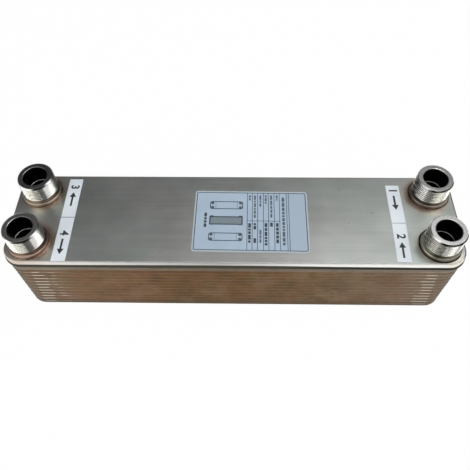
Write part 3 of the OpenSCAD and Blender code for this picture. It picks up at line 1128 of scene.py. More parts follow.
@dataclass
class PlateStack:
    """The nested plates between the covers, with the lip of braze along each long skirt's edge."""

    outline: BodyOutline
    channel_plates: int = 20
    pitch: float = 2.37 * MM
    first_level: float = 11.0 * MM
    long_skirt: float = 7.0 * MM
    edge_radius: float = 13.75 * MM
    lean: float = 0.18007
    lip_height: float = 0.75 * MM
    lip_drop: float = 0.04 * MM
    lip_bulge: float = 0.20 * MM
    lip_fullness: float = 0.8
    lip_steps: int = 13
    lip_root: float = 0.25 * MM
    waver: float = 0.16
    waver_counts: tuple[int, ...] = (9, 23, 41, 67)
    seed: int = 7

    def build(self, frame: dict, stack: bpy.types.Material, end_plate: bpy.types.Material) -> None:
        """Dresses the plates and adds the lips.

        Args:
            frame: the loaded frame.
            stack: the stained steel of the plates and the back cover.
            end_plate: the paler steel of the front end plate.
        """
        for number in range(1, self.channel_plates + 1):
            dress_node(frame, f"channel_plate_{number:02d}", stack)
        dress_node(frame, "back_end_plate", stack)
        dress_node(frame, "back_cover", stack)
        dress_node(frame, "front_end_plate", end_plate)
        long_ones = range(1, self.channel_plates + 1, 2)
        ride_root(self._lips("skirt_lips", list(long_ones)), stack)
        ride_root(self._lips("end_plate_lip", [self.channel_plates + 1]), end_plate)

    def _lips(self, name: str, plates: list[int]) -> bpy.types.Object:
        """Makes the rounded lips of several plates as one mesh.

        A lip's section is a closed drop: from under the sheet's edge it swells outwards by the bulge,
        comes back to the skirt's face at its top and goes down inside. The bulge wavers along the way by
        a sum of sines.

        Args:
            name: the piece's name.
            plates: numbers of the plates whose skirts get a lip.

        Returns:
            The piece.
        """
        turn = np.linspace(math.pi, 0, self.lip_steps)
        outward = np.sin(turn) ** self.lip_fullness
        height = (0.5 + 0.5 * np.cos(turn)) * self.lip_height - self.lip_drop
        levels = np.append(height, 0.25 * self.lip_height)
        rng = np.random.default_rng(self.seed)
        places = len(self.outline.frame()[0])
        way = np.linspace(0, 2 * math.pi, places, endpoint=False)[:, None]
        root = np.full((places, 1), self.edge_radius - self.lip_root)
        points = []
        faces = []
        for number, plate in enumerate(plates):
            edge = self.first_level + plate * self.pitch - self.long_skirt
            phases = rng.uniform(0, 2 * math.pi, len(self.waver_counts))
            bulge = self.lip_bulge * (1 + self.waver * sines(way, self.waver_counts, phases))
            radii = np.concatenate([self.edge_radius - height * self.lean + outward * bulge, root], axis=1)
            swept = self.outline.sweep(radii, np.broadcast_to(edge + levels, radii.shape))
            points.append(swept.reshape(-1, 3))
            faces.append(grid_faces(places, len(levels), True, True, number * places * len(levels)))
        return mesh_object(name, np.vstack(points), np.vstack(faces), 50.0)


@dataclass
class Nozzle:
    """A turned nozzle with a real thread, and the copper that has run round its collar."""

    port: Port
    face_level: float = FACE_LEVEL
    cover_thickness: float = 2.0 * MM
    height: float = NOZZLE_HEIGHT
    bore_radius: float = BORE_RADIUS
    bore_bevel: float = 0.5 * MM
    bore_depth: float = BORE_DEPTH
    bore_ledge: float = 0.5 * MM
    ledge_round: float = 0.35 * MM
    crest_radius: float = CREST_RADIUS
    thread_pitch: float = 1.814 * MM
    thread_depth: float = 1.0 * MM
    crest_flat: float = 0.13
    flank_round: float = 0.65
    fade_out: float = 0.7 * MM
    tip_bevel: float = TIP_BEVEL
    edge_round: float = 0.18 * MM
    seam: float = 0.06 * MM
    spigot_radius: float = 10.8 * MM
    collar_radius: float = COLLAR_RADIUS
    collar_height: float = 3.0 * MM
    collar_round: float = 0.4 * MM
    groove_radius: float = 12.22 * MM
    groove_width: float = 1.6 * MM
    run_in: float = 0.7 * MM
    round_steps: int = 176
    fillet_leg: float = 0.9 * MM
    fillet_sink: float = 0.02 * MM
    fillet_share: float = 0.92
    fillet_waver: float = 0.07
    fillet_waver_counts: tuple[int, ...] = (2, 3, 5, 11)
    fillet_steps: int = 120
    fillet_seed: int = 20

    def build(self, steel: bpy.types.Material, copper: bpy.types.Material) -> None:
        """Makes the nozzle and its fillet in place of the CAD nodes.

        Args:
            steel: the nozzle's material.
            copper: the fillet's material.
        """
        ride_root(self._body(), steel, (f"nozzle_{self.port.label}",))
        ride_root(self._fillet(), copper, (f"braze_fillet_{self.port.label}",))

    def _profile(self) -> tuple[np.ndarray, np.ndarray]:
        """The nozzle's section, up the outside and down the bore, with small radii at its edges.

        Returns:
            Radius and height above the cover's face of each point. The points are spaced evenly between
            the section's corners, most closely over the thread.
        """
        collar, bend, top, edge = self.collar_height, self.collar_round, self.height, self.edge_round
        groove_high = collar + self.groove_width
        ledge = top - self.bore_depth
        narrow = self.bore_radius - self.bore_ledge
        rim_out = self.crest_radius - self.tip_bevel - edge
        rim_in = self.bore_radius + self.bore_bevel + edge
        turn = np.linspace(0, math.pi / 2, 5)
        ledge_in = narrow + self.ledge_round * (1 - np.sin(turn))
        ledge_down = ledge - self.ledge_round * (1 - np.cos(turn))
        corners = [
            (narrow, -self.cover_thickness, 1),
            (self.spigot_radius, -self.cover_thickness, 2),
            (self.spigot_radius, 0.0, 1),
            (self.collar_radius, 0.0, 2),
            (self.collar_radius, collar - bend, 5),
            (self.collar_radius - 0.3 * bend, collar - 0.35 * bend, 1),
            (self.collar_radius - bend, collar, 1),
            (self.groove_radius, collar, 3),
            (self.groove_radius, groove_high, 3),
            (self.crest_radius, groove_high + self.run_in, 4),
            (self.crest_radius, top - self.tip_bevel, 84),
            (rim_out + 2 * edge, top - edge, 6),
            (rim_out, top, 2),
            (rim_out - self.seam, top, 1),
            (rim_in + self.seam, top, 6),
            (rim_in, top, 1),
            (rim_in - 2 * edge, top - 0.5 * edge, 2),
            (self.bore_radius, top - self.bore_bevel, 3),
            (self.bore_radius, ledge, 8),
            *((r, z, 1) for r, z in zip(ledge_in, ledge_down)),
            (narrow, -self.cover_thickness, 4),
        ]
        radii = []
        heights = []
        for (r0, z0, _), (r1, z1, steps) in zip(corners, corners[1:]):
            share = np.arange(1, steps + 1) / steps
            radii.append(r0 + share * (r1 - r0))
            heights.append(z0 + share * (z1 - z0))
        return np.concatenate(radii), np.concatenate(heights)

    def _thread(self, height: np.ndarray, angle: np.ndarray) -> np.ndarray:
        """Radius of the thread.

        It is the crest's less the depth times a rounded triangle wave of height / pitch - angle / full
        turn, and it fades out just under the tip's bevel.

        Args:
            height: heights above the cover's face, in one row.
            angle: angles round the axis, in one column.

        Returns:
            One row of radii for each angle.
        """
        turns = height / self.thread_pitch - angle / (2 * math.pi)
        wave = np.abs(2 * (turns - np.floor(turns)) - 1)
        cut = np.clip((wave - self.crest_flat) / (1 - 2 * self.crest_flat), 0, 1)
        cut = (1 - self.flank_round) * cut + self.flank_round * cut * cut * (3 - 2 * cut)
        fade = np.clip((self.height - self.tip_bevel - height) / self.fade_out, 0, 1)
        return self.crest_radius - self.thread_depth * cut * fade

    def _round(self, radius: np.ndarray, height: np.ndarray, angle: np.ndarray) -> np.ndarray:
        """Points round the port's axis: the radius times the direction of the angle, at each height.

        Args:
            radius: radii, one row for each angle.
            height: heights above the cover's face, in one row or as the radii.
            angle: angles, in one column.

        Returns:
            One row of three numbers for each point.
        """
        x, y = self.port.place
        level = np.broadcast_to(self.face_level + height, radius.shape)
        points = [x + radius * np.cos(angle), y + radius * np.sin(angle), level]
        return np.stack(points, axis=-1).reshape(-1, 3)

    def _body(self) -> bpy.types.Object:
        """Turns the section and cuts the thread into it: the surface is the smaller of section and thread.

        Returns:
            The nozzle, with the depth of the cut as the number "root" of each corner.
        """
        radius, height = self._profile()
        angle = np.linspace(0, 2 * math.pi, self.round_steps, endpoint=False)[:, None]
        hair = 0.01 * MM
        outside = np.abs(radius - self.crest_radius) < self.thread_depth + hair
        outside &= radius < self.crest_radius + hair
        outside &= (height > self.collar_height - hair) & (height < self.height - self.tip_bevel + hair)
        cut = np.where(outside, np.minimum(radius, self._thread(height, angle)), radius)
        full = np.where(height > self.collar_height + hair, cut, radius)
        piece = mesh_object(f"nozzle_turned_{self.port.label}", self._round(full, height, angle),
                            grid_faces(*full.shape, True, True), 40.0)
        self._lay_round(piece, radius, height)
        depth = np.clip((self.crest_radius - cut) / self.thread_depth, 0, 1) * outside
        layer = piece.data.attributes.new("root", "FLOAT", "POINT")
        layer.data.foreach_set("value", depth.astype(np.float32).ravel())
        return piece

    def _lay_round(self, piece: bpy.types.Object, radius: np.ndarray, height: np.ndarray) -> None:
        """Lays the UV map, in metres: first the way round at the crests, then the way along the section.

        Args:
            piece: the nozzle.
            radius: radii of the section's points.
            height: their heights.
        """
        lengths = np.hypot(np.diff(radius, append=radius[0]), np.diff(height, append=height[0]))
        along = np.concatenate([[0.0], np.cumsum(lengths)])
        round_way = np.arange(self.round_steps + 1) / self.round_steps * 2 * math.pi * self.crest_radius
        i, j = np.meshgrid(np.arange(self.round_steps), np.arange(len(radius)), indexing="ij")
        corners = [(i, j), (i + 1, j), (i + 1, j + 1), (i, j + 1)]
        places = [np.stack([round_way[a], along[b]], axis=-1) for a, b in corners]
        lay_uv(piece, np.stack(places, axis=2).reshape(-1, 2))

    def _fillet(self) -> bpy.types.Object:
        """Makes the copper fillet.

        Its section is the corner under a hollow quarter: foot at distance leg along the cover, top at
        height leg on the collar. Both reaches waver round the collar by a sum of sines.

        Returns:
            The fillet.
        """
        angle = np.linspace(0, 2 * math.pi, self.fillet_steps, endpoint=False)[:, None]
        rng = np.random.default_rng(self.fillet_seed + 3 * self.port.value[0] + self.port.value[1])
        phases = rng.uniform(0, 2 * math.pi, len(self.fillet_waver_counts))
        waver = self.fillet_waver * sines(angle, self.fillet_waver_counts, phases)
        reach = self.fillet_leg * (self.fillet_share + waver)
        turn = np.linspace(0, math.pi / 2, 8)
        corner = np.full_like(reach, self.collar_radius - self.fillet_sink)
        radius = np.concatenate([self.collar_radius + reach * (1 - np.sin(turn)), corner], axis=1)
        height = np.concatenate([reach * (1 - np.cos(turn)), np.zeros_like(reach)], axis=1)
        return mesh_object(f"copper_fillet_{self.port.label}", self._round(radius, height, angle),
                           grid_faces(*radius.shape, True, True), 60.0)


class Sketch:
    """Flat printed marks on a label, gathered into one mesh just above the film."""

    def __init__(self, level: float = PRINT_LEVEL) -> None:
        """Starts an empty sketch at a height."""
        self.level = level
        self.points: list[np.ndarray] = []
        self.faces: list[list[int]] = []

    def add(self, points: np.ndarray, faces: np.ndarray) -> None:
        """Adds a shape.

        Args:
            points: its corners in plan.
            faces: its faces, against the clock, which number the corners from 0.
        """
        start = sum(len(earlier) for earlier in self.points)
        self.points.append(points)
        self.faces += (faces + start).tolist()

    def polygon(self, corners: list[Place]) -> None:
        """Adds one filled outline, given against the clock."""
        self.add(np.array(corners, float), np.arange(len(corners))[None])

    def bar(self, x0: float, y0: float, x1: float, y1: float) -> None:
        """Adds a filled rectangle between two corners."""
        (low_x, high_x), (low_y, high_y) = sorted((x0, x1)), sorted((y0, y1))
        self.polygon([(low_x, low_y), (high_x, low_y), (high_x, high_y), (low_x, high_y)])

    def frame_line(self, half: Place, radius: float, width: float, centre: Place = (0.0, 0.0)) -> None:
        """Adds a line of one width along a rounded rectangle.

        Its outer points are the corners' middles plus the radius times the direction, and its inner ones
        lie the width further in, with sharp corners where the line is wider than the radius.

        Args:
            half: half the rectangle's length and width.
            radius: its corners' radius.
            width: the line's width.
            centre: the rectangle's middle.
        """
        steps = 32
        angle = (np.arange(steps) + 0.5) * 2 * math.pi / steps
        way = np.stack([np.cos(angle), np.sin(angle)], axis=1)
        inner_radius = max(radius - width, 0.01 * MM)
        inner, outer = (np.sign(way) * (np.array(half) - inset - r) + way * r + centre
                        for inset, r in ((width, inner_radius), (0.0, radius)))
        self.add(np.concatenate([inner, outer]), grid_faces(2, steps, False, True))

    def piece(self, name: str, centre: Place, turn: float) -> bpy.types.Object:
        """Turns the sketch about the vertical, moves it to its place and makes it a mesh.

        Args:
            name: the piece's name.
            centre: where the sketch's origin lies in plan.
            turn: turn against the clock, in degrees.

        Returns:
            The piece.
        """
        flat = np.vstack(self.points)
        c, s = math.cos(math.radians(turn)), math.sin(math.radians(turn))
        x = centre[0] + flat[:, 0] * c - flat[:, 1] * s
        y = centre[1] + flat[:, 0] * s + flat[:, 1] * c
        points = np.stack([x, y, np.full(len(x), self.level)], axis=1)
        mesh = bpy.data.meshes.new(name)
        mesh.from_pydata(points.tolist(), [], self.faces)
        return linked(name, mesh)


@dataclass(frozen=True)
class WordRun:
    """Blank words in place of text, along a line across the label. Lengths are in millimetres."""

    x: float
    start: float
    stop: float
    ink: Ink = Ink.BOLD
    half: float = 0.95


@dataclass
class RatingLabel:
    """Printed film with a frame line, a table of blank words and three plate pictograms.

    The rules, the runs and the pictograms' places are in millimetres on the label.
    """

    corner_radius: float = 1.3 * MM
    frame_width: float = 0.62 * MM
    rules: tuple[float, ...] = (-2.7, 1.05, 5.05, 9.4, 13.15, 17.5, 21.5, 26.9, 28.5)
    last_crossed: int = 6
    rule_half: float = 0.22 * MM
    cross_rule: float = -0.2 * MM
    runs: tuple[WordRun, ...] = (
        WordRun(24.3, 21.9, -22.8, Ink.PLAIN),
        WordRun(19.6, 23.9, 19.1, Ink.PLAIN, 0.68), WordRun(19.6, -2.0, -19.5),
        WordRun(15.3, 23.9, 1.5, Ink.PLAIN, 0.68), WordRun(15.3, -1.6, -6.5),
        WordRun(11.2, 23.8, 15.8, Ink.PLAIN, 0.68), WordRun(11.2, -2.1, -21.6),
        WordRun(7.1, 23.7, 13.1, Ink.PLAIN, 0.68), WordRun(7.1, -8.2, -19.3, Ink.PLAIN, 0.68),
        WordRun(3.0, 23.6, 1.2, Ink.PLAIN, 0.68), WordRun(3.0, -2.3, -7.8), WordRun(3.0, -15.5, -20.3),
        WordRun(-0.9, 23.6, 18.8, Ink.PLAIN, 0.68), WordRun(-0.9, -2.4, -19.4),
        WordRun(-33.9, 6.7, -7.4),
    )
    word_lengths: Span = (1.6, 4.6)
    word_gap: float = 0.75 * MM
    plates: tuple[Span, ...] = ((17.6, 10.3), (3.7, -4.0), (-11.05, -18.2))
    plate_ends: Span = (-31.0, -6.0)
    panel_level: float = 65.35 * MM
    panel_inset: float = 0.2 * MM
    seed: int = 5

    def build(self, frame: dict, film: bpy.types.Material, inks: dict[Ink, bpy.types.Material]) -> None:
        """Dresses the label and prints on it.

        Args:
            frame: the loaded frame.
            film: material of the film.
            inks: the inks' materials.
        """
        dress_node(frame, "rating_label", film)
        sketches = {
            Ink.LINE: self._lines(),
            Ink.BOLD: self._words(Ink.BOLD),
            Ink.PLAIN: self._words(Ink.PLAIN),
            Ink.PANEL: self._panel(),
        }
        for ink, sketch in sketches.items():
            piece = sketch.piece(f"rating_label_{ink.value}", LABEL_CENTRE, LABEL_TURN)
            ride_root(piece, inks[ink])

    def _lines(self) -> Sketch:
        """Draws the frame line, the table's rules and the pictograms' outlines.

        Returns:
            The sketch.
        """
        sketch = Sketch()
        sketch.frame_line(LABEL_FRAME, self.corner_radius, self.frame_width)
        end = LABEL_FRAME[1] - self.frame_width
        rules = [x * MM for x in self.rules]
        for x in rules:
            sketch.bar(x - self.rule_half, -end, x + self.rule_half, end)
        sketch.bar(rules[0], self.cross_rule - self.rule_half, rules[self.last_crossed],
                   self.cross_rule + self.rule_half)
        upper, middle, lower = self.plates
        self._plan_view(sketch, upper)
        self._side_view(sketch, middle)
        self._plan_view(sketch, lower)
        return sketch

    def _frame_of(self, plate: Span) -> tuple[Place, Place]:
        """Middle of a pictogram, and half its length and width."""
        (left, right), (high, low), half = self.plate_ends, plate, MM / 2
        return ((left + right) * half, (high + low) * half), ((right - left) * half, (high - low) * half)

    def _side_view(self, sketch: Sketch, plate: Span) -> None:
        """Draws the exchanger from the side, with a stub at each nozzle's place.

        Args:
            sketch: the sketch to add to.
            plate: the pictogram's upper and lower limits.
        """
        centre, half = self._frame_of(plate)
        sketch.frame_line(half, 0.5 * MM, 1.0 * MM, centre)
        stub_in, stub_half, stub_low, stub_high = 1.7 * MM, 1.4 * MM, 0.35 * MM, 0.55 * MM
        for way in (-1, 1):
            for side in (-1, 1):
                x = centre[0] + way * (half[0] - stub_in)
                y = centre[1] + side * half[1]
                sketch.bar(x - stub_half, y - stub_low, x + stub_half, y + side * stub_high)

    def _plan_view(self, sketch: Sketch, plate: Span) -> None:
        """Draws the exchanger from the front: a rounded outline, a line near each end and four port rings.

        Args:
            sketch: the sketch to add to.
            plate: the pictogram's upper and lower limits.
        """
        centre, half = self._frame_of(plate)
        sketch.frame_line(half, 1.6 * MM, 0.68 * MM, centre)
        line_in, line_half, line_gap = 4.4 * MM, 0.12 * MM, 0.4 * MM
        port_in, ring_half, ring_radius, ring_width = (2.0 * MM, 1.7 * MM), 1.15 * MM, 1.14 * MM, 0.95 * MM
        for way in (-1, 1):
            line = centre[0] + way * (half[0] - line_in)
            reach = half[1] - line_gap
            sketch.bar(line - line_half, centre[1] - reach, line + line_half, centre[1] + reach)
            for side in (-1, 1):
                port = (centre[0] + way * (half[0] - port_in[0]), centre[1] + side * (half[1] - port_in[1]))
                sketch.frame_line((ring_half, ring_half), ring_radius, ring_width, port)

    def _words(self, ink: Ink) -> Sketch:
        """Draws rows of bars of uneven length with small gaps, which stand for words.

        Args:
            ink: the ink whose words are drawn.

        Returns:
            The sketch.
        """
        sketch = Sketch()
        rng = np.random.default_rng(self.seed + (ink is Ink.BOLD))
        least = 0.8 * MM
        for run in self.runs:
            if run.ink is not ink:
                continue
            x, y, stop, half = run.x * MM, run.start * MM, run.stop * MM, run.half * MM
            while y > stop + least:
                length = min(rng.uniform(*self.word_lengths) * MM, y - stop)
                sketch.bar(x - half, y - length, x + half, y)
                y -= length + self.word_gap
        return sketch

    def _panel(self) -> Sketch:
        """Draws the face of the pictogram from the side, under its outline.

        Returns:
            The sketch.
        """
        sketch = Sketch(self.panel_level)
        centre, half = self._frame_of(self.plates[1])
        x, y = half[0] - self.panel_inset, half[1] - self.panel_inset
        sketch.bar(centre[0] - x, centre[1] - y, centre[0] + x, centre[1] + y)
        return sketch


@dataclass
class TapeLabel:
    """Strip of laminated tape with a port number and a flow arrow. A foot above 0 gets a dark end line,
    a painted shadow of the gap where it meets the next tape.
    """

    node: str
    number: str
    flow: Flow
    centre: Place
    turn: float
    mark_shift: float
    foot: float = 0.0
    number_from: float = 7.0 * MM
    number_size: float = 8.6 * MM
    number_weight: float = 0.25 * MM
    arrow_from: float = -4.6 * MM
    arrow_half: float = 6.6 * MM
    stem_half: float = 0.75 * MM
    head_half: float = 2.5 * MM
    head_length: float = 4.6 * MM
    half_width: float = 5.05 * MM
    end_line: Span = (0.03 * MM, 0.30 * MM)

    def build(self, frame: dict, tape: bpy.types.Material, ink: bpy.types.Material) -> None:
        """Dresses the tape and prints its marks.

        Args:
            frame: the loaded frame.
            tape: the tape's material.
            ink: the ink's material.
        """
        dress_node(frame, self.node, tape)
        sketch = Sketch()
        self._arrow(sketch)
        # Painted shadow of the gap at the tape's end
        if self.foot > 0:
            low, high = self.end_line
            sketch.bar(-self.half_width, low - self.foot, self.half_width, high - self.foot)
        ride_root(sketch.piece(f"{self.node}_arrow", self.centre, self.turn), ink)
        ride_root(self._digit(), ink)

    def _arrow(self, sketch: Sketch) -> None:
        """Draws an arrow that points back along the tape or forward, by the flow.

        Args:
            sketch: the sketch to add to.
        """
        way = self.flow.value
        middle = self.mark_shift + self.arrow_from
        tip = middle + way * self.arrow_half
        base = tip - way * self.head_length
        sketch.bar(-self.stem_half, middle - way * self.arrow_half, self.stem_half, base)
        corners = [(-self.head_half, base), (self.head_half, base), (0.0, tip)]
        sketch.polygon(corners if way > 0 else corners[::-1])

    def _digit(self) -> bpy.types.Object:
        """Sets the port's number as a flat mesh that reads along the tape.

        Returns:
            The piece.
        """
        name = f"{self.node}_number"
        curve = bpy.data.curves.new(name, "FONT")
        curve.body = self.number
        curve.size = self.number_size
        curve.offset = self.number_weight
        curve.align_x = "CENTER"
        curve.align_y = "CENTER"
        text = linked(name, curve)
        bpy.context.view_layer.update()
        mesh = bpy.data.meshes.new_from_object(text)
        bpy.data.objects.remove(text)
        place = Matrix.Translation((*self.centre, PRINT_LEVEL))
        place @= Matrix.Rotation(math.radians(self.turn), 4, "Z")
        place @= Matrix.Translation((0.0, self.mark_shift + self.number_from, 0.0))
        place @= Matrix.Rotation(math.radians(-90), 4, "Z")
        mesh.transform(place)
        return linked(name, mesh)


@dataclass(frozen=True)
class SoftBox:
    """A soft light: where it hangs, its width and height in metres, and its power in watts."""

    name: str
    place: Triple
    size: tuple[float, float]
    power: float

    def hang(self, target: Vector) -> None:
        """Makes the light.

        Args:
            target: the point that it faces.
        """
        data = bpy.data.lights.new(self.name, "AREA")
        data.shape = "RECTANGLE"
        data.size, data.size_y = self.size
        data.energy = self.power
        light = linked(self.name, data)
        light.location = self.place
        light.rotation_euler = (target - Vector(self.place)).to_track_quat("-Z", "Y").to_euler()
        light.visible_camera = False


@dataclass
class Studio:
    """Pale floor, soft boxes and the camera at the photograph's place."""

    camera_place: Triple = (7.826 * MM, -217.715 * MM, 374.176 * MM)
    yaw: float = -1.873
    pitch: float = 56.804
    roll: float = -1.182
    focal_pixels: float = 505.56
    clip: Span = (0.01, 50.0)
    floor_size: float = 12.0
    paper: Colour = (0.86, 0.86, 0.86)
    white: Colour = (1.0, 1.0, 1.0)
    floor_white: float = 0.985
    sky: tuple[tuple[float, float], ...] = ((0.0, 1.0), (0.28, 0.02), (0.72, 0.02), (1.0, 0.43))
    target: Triple = (0.0, 0.0, 0.06)
    boxes: tuple[SoftBox, ...] = (
        SoftBox("box_above", (0.465, 0.169, 1.582), (0.5, 0.5), 4.85),
        SoftBox("box_zenith", (0.0, -0.223, 1.644), (1.0, 1.0), 2.4),
        SoftBox("box_right", (0.773, -0.207, 1.446), (1.2, 1.2), 4.5),
        SoftBox("box_back_right", (0.55, 0.80, 1.35), (0.5, 0.5), 0.35),
        SoftBox("box_front_left", (-0.56, -0.36, 1.12), (0.7, 0.5), 1.4),
        SoftBox("window_left", (-1.35, -0.80, 0.75), (1.8, 0.9), 9.5),
        SoftBox("window_right", (1.5, 0.25, 1.15), (0.8, 0.5), 3.8),
        SoftBox("window_right_low", (1.5, 0.1, 0.6), (0.9, 0.6), 3.2),
        SoftBox("window_front_right", (0.84, -0.90, 0.72), (0.7, 0.6), 1.6),
    )

    def build(self) -> None:
        """Makes the camera, the floor, the world and the lights."""
        self._camera()
        self._floor()
        self._world()
        for box in self.boxes:
            box.hang(Vector(self.target))

    def _camera(self) -> None:
        """Places the camera. Its right, up and forward directions follow from yaw, pitch and roll."""
        yaw, pitch, roll = (math.radians(a) for a in (self.yaw, self.pitch, self.roll))
        forward = Vector((math.sin(yaw) * math.cos(pitch), math.cos(yaw) * math.cos(pitch), -math.sin(pitch)))
        level = Vector((math.cos(yaw), -math.sin(yaw), 0.0))
        upward = level.cross(forward)
        right = math.cos(roll) * level + math.sin(roll) * upward
        up = -math.sin(roll) * level + math.cos(roll) * upward
        data = bpy.data.cameras.new("camera")
        data.sensor_width = SENSOR_MM
        data.lens = self.focal_pixels / PHOTO_WIDTH * SENSOR_MM
        data.clip_start, data.clip_end = self.clip
        camera = linked("camera", data)
        turn = Matrix((right, up, -forward)).transposed().to_4x4()
        camera.matrix_world = Matrix.Translation(self.camera_place) @ turn
        bpy.context.scene.camera = camera

    def _floor(self) -> None:
        """Lays the floor. Camera and glossy rays see it near white, with a little of the real shading."""
        half = self.floor_size / 2
        points = np.array([(-half, -half, 0), (half, -half, 0), (half, half, 0), (-half, half, 0)], float)
        floor = mesh_object("floor", points, np.array([[0, 1, 2, 3]]))
        kit = NodeKit(bpy.data.materials.new("floor_paper"))
        path = kit.add("ShaderNodeLightPath")
        seen = kit.wire(path, "Is Camera Ray").larger(kit.wire(path, "Is Glossy Ray"))
        seen = seen.larger(kit.wire(path, "Is Transmission Ray"))
        paper = kit.wire(kit.add("ShaderNodeBsdfDiffuse", values={"Color": self.paper}))
        glow = kit.wire(kit.add("ShaderNodeEmission", values={"Color": self.white, "Strength": 1.0}))
        mixed = kit.add("ShaderNodeMixShader", values={0: seen * self.floor_white, 1: paper, 2: glow})
        kit.add("ShaderNodeOutputMaterial", values={"Surface": kit.wire(mixed)})
        floor.data.materials.append(kit.owner)

    def _world(self) -> None:
        """Lights the world: white up to the horizon, dark above it and grey overhead. Cameras see white."""
        world = bpy.data.worlds.new("studio")
        bpy.context.scene.world = world
        kit = NodeKit(world)
        _, _, height = kit.parts(kit.wire(kit.add("ShaderNodeTexCoord"), "Generated"))
        sky = kit.gradient(height, [(place, (grey, grey, grey)) for place, grey in self.sky])
        seen = kit.wire(kit.add("ShaderNodeLightPath"), "Is Camera Ray")
        background = kit.add("ShaderNodeBackground", values={"Color": kit.mix(seen, sky, self.white)})
        kit.add("ShaderNodeOutputWorld", values={"Surface": kit.wire(background)})


# Tones of the braze staining along the body, in mm from its middle; the darker middle is painted shade
STACK_STAIN_AND_SHADE: tuple[Stop, ...] = (
    (-168.0, (0.15, 0.12, 0.08)),
    (-150.0, (0.19, 0.145, 0.092)),
    (-122.0, (0.225, 0.124, 0.060)),
    (-95.0, (0.215, 0.110, 0.052)),
    (-50.0, (0.172, 0.086, 0.029)),
    (0.0, (0.152, 0.074, 0.020)),
    (45.0, (0.180, 0.105, 0.041)),
    (80.0, (0.205, 0.135, 0.074)),
    (130.0, (0.200, 0.133, 0.082)),
    (150.0, (0.21, 0.155, 0.105)),
    (168.0, (0.16, 0.14, 0.10)),
)
# The front end plate's tones along the body; its darker middle is painted shade
END_PLATE_STAIN_AND_SHADE: tuple[Stop, ...] = (
    (-160.0, (0.27, 0.225, 0.17)),
    (0.0, (0.20, 0.155, 0.11)),
    (160.0, (0.25, 0.215, 0.175)),
)
STACK_STEEL = StainedSteel(
    "brazed_steel", STACK_STAIN_AND_SHADE, red=(0.19, 0.085, 0.045), olive=(0.14, 0.10, 0.036),
    pale=(0.36, 0.29, 0.22), shade=(0.055, 0.042, 0.03), patches=0.5)
END_PLATE_STEEL = StainedSteel(
    "end_plate_steel", END_PLATE_STAIN_AND_SHADE, red=(0.20, 0.14, 0.11), olive=(0.16, 0.15, 0.11),
    pale=(0.40, 0.35, 0.30), shade=(0.06, 0.045, 0.032), patches=0.15, stripes=0.0)
# The front right fillet's near black tones are painted shade in the corner at the nozzle's foot
COPPERS = (
    CopperBraze(Port.BACK_LEFT, (0.22, 0.155, 0.11), (0.075, 0.058, 0.042)),
    CopperBraze(Port.BACK_RIGHT, (0.15, 0.10, 0.08), (0.06, 0.045, 0.035)),
    CopperBraze(Port.FRONT_LEFT, (0.27, 0.165, 0.12), (0.10, 0.07, 0.055)),
    CopperBraze(Port.FRONT_RIGHT, (0.035, 0.025, 0.017), (0.012, 0.010, 0.007)),
)
# Painted shadow on the right side of the left nozzles' feet
PAINTED_FOOT_SHADOW = (0.03, 0.025, 0.02)
NOZZLE_STEELS = (
    TurnedSteel(
        Port.BACK_LEFT,
        stain=(0.48, 0.40, 0.32),
        rim=(0.30, 0.30, 0.295),
        warm_side=-130.0,
        painted_dark_streaks=(Streak(-80.0, 10.0, 6.0, 0.30), Streak(-61.0, 7.5, 3.5, 0.75),
                 Streak(18.0, 27.0, 6.0, 0.80)),
        tip_shadows=(Streak(-62.0, 22.0, 8.0, 0.95), Streak(35.0, 55.0, 15.0, 0.7)),
        lined=Streak(-30.0, 22.0, 8.0, 1.0),
        lip_glint=Streak(150.0, 45.0, 20.0, 0.9),
        foot_light_and_shade=((Streak(25.0, 50.0, 22.0, 0.65), PAINTED_FOOT_SHADOW),),
    ),
    TurnedSteel(
        Port.BACK_RIGHT,
        stain=(0.21, 0.17, 0.14),
        rim=(0.70, 0.70, 0.69),
        warm_side=-60.0,
        painted_dark_streaks=(Streak(-113.0, 11.0, 5.0, 0.55), Streak(-180.0, 16.0, 6.0, 0.5)),
        tip_shadows=(Streak(-66.0, 52.0, 8.0, 0.95),),
        lined=Streak(-145.0, 18.0, 8.0, 0.9),
        lip_glint=Streak(50.0, 35.0, 15.0, 0.7),
    ),
    TurnedSteel(
        Port.FRONT_LEFT,
        stain=(0.45, 0.31, 0.25),
        rim=(0.49, 0.49, 0.48),
        warm_side=-130.0,
        painted_dark_streaks=(Streak(-58.0, 10.0, 4.0, 0.85), Streak(22.0, 28.0, 6.0, 0.75)),
        tip_shadows=(Streak(-72.0, 32.0, 10.0, 0.95), Streak(35.0, 55.0, 15.0, 0.7)),
        lined=Streak(-28.0, 22.0, 8.0, 1.0),
        lip_glint=Streak(165.0, 40.0, 20.0, 0.9),
        foot_light_and_shade=((Streak(22.0, 50.0, 22.0, 0.65), PAINTED_FOOT_SHADOW),),
    ),
    TurnedSteel(
        Port.FRONT_RIGHT,
        stain=(0.15, 0.14, 0.10),
        rim=(1.0, 1.0, 0.98),
        warm_side=-150.0,
        painted_dark_streaks=(Streak(-178.0, 17.0, 6.0, 0.15), Streak(-143.0, 15.0, 8.0, 0.58),
                 Streak(-117.0, 11.0, 4.0, 0.62)),
        tip_shadows=(Streak(-70.0, 56.0, 8.0, 0.97),),
        lined=Streak(-130.0, 30.0, 10.0, 0.5),
        line_floor=0.12,
        side_highlights=(Streak(-102.0, 1.7, 0.9, 0.9), Streak(-60.0, 28.0, 10.0, 0.85)),
        # Painted highlight on the left of the front right nozzle's collar
        foot_light_and_shade=((Streak(-168.0, 34.0, 18.0, 0.38), (0.95, 0.93, 0.80)),),
    ),
)
LABEL_FILM = FramedFilm("label_print", (0.46, 0.57, 0.69), (0.425, 0.535, 0.655), 0.42)
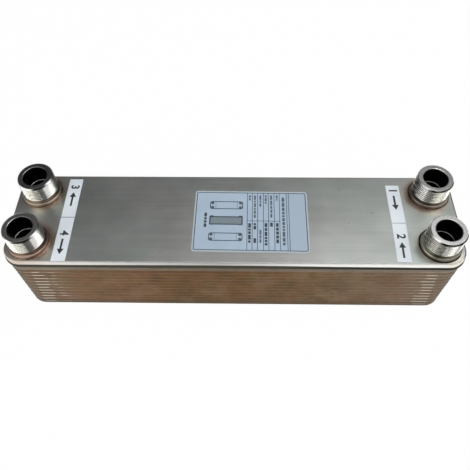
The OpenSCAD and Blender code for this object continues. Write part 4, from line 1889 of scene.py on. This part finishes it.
TAPE_FILM = LabelFilm("label_tape", (0.88, 0.95, 1.0), (0.83, 0.90, 0.96), 0.3, coat=0.3)
TAPE_INK = PrintInk("tape_ink", (0.02, 0.02, 0.025), (0.06, 0.06, 0.07))
LABEL_INKS = {
    Ink.LINE: PrintInk("line_ink", (0.035, 0.055, 0.085), (0.08, 0.11, 0.15)),
    Ink.BOLD: PrintInk("bold_ink", (0.025, 0.035, 0.05), (0.07, 0.09, 0.12)),
    Ink.PLAIN: PrintInk("plain_ink", (0.07, 0.095, 0.13), (0.14, 0.18, 0.23)),
    Ink.PANEL: PrintInk("panel_ink", (0.20, 0.25, 0.28), (0.24, 0.29, 0.33)),
}
TAPES = (
    TapeLabel("tape_label_back_left", "3", Flow.INTO, (-124.5 * MM, 17.4 * MM), 0.0, 3.6 * MM, 18.25 * MM),
    TapeLabel("tape_label_front_left", "4", Flow.OUT_OF, (-124.5 * MM, -19.9 * MM), 0.0, -2.1 * MM),
    TapeLabel("tape_label_back_right", "1", Flow.OUT_OF, (122.0 * MM, 13.2 * MM), -0.2, 5.8 * MM, 17.65 * MM),
    TapeLabel("tape_label_front_right", "2", Flow.INTO, (121.5 * MM, -21.0 * MM), -1.8, -2.0 * MM),
)


def main() -> None:
    """Builds the looks around the frame, piece by piece."""
    logging.basicConfig(level=logging.INFO, format="%(name)s: %(message)s")
    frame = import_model()
    bpy.context.scene.view_settings.view_transform = "Standard"
    Studio().build()

    stack = STACK_STEEL.build()
    dress_node(frame, "front_cover", CoverSteel().build())
    for ring in ("seal_ring_left", "seal_ring_right"):
        dress_node(frame, ring, stack)
    PlateStack(BodyOutline()).build(frame, stack, END_PLATE_STEEL.build())
    for steel, copper in zip(NOZZLE_STEELS, COPPERS):
        Nozzle(steel.port).build(steel.build(), copper.build())
    inks = {ink: finish.build() for ink, finish in LABEL_INKS.items()}
    RatingLabel().build(frame, LABEL_FILM.build(), inks)
    tape = TAPE_FILM.build()
    tape_ink = TAPE_INK.build()
    for tape_label in TAPES:
        tape_label.build(frame, tape, tape_ink)


if __name__ == "__main__":
    main()
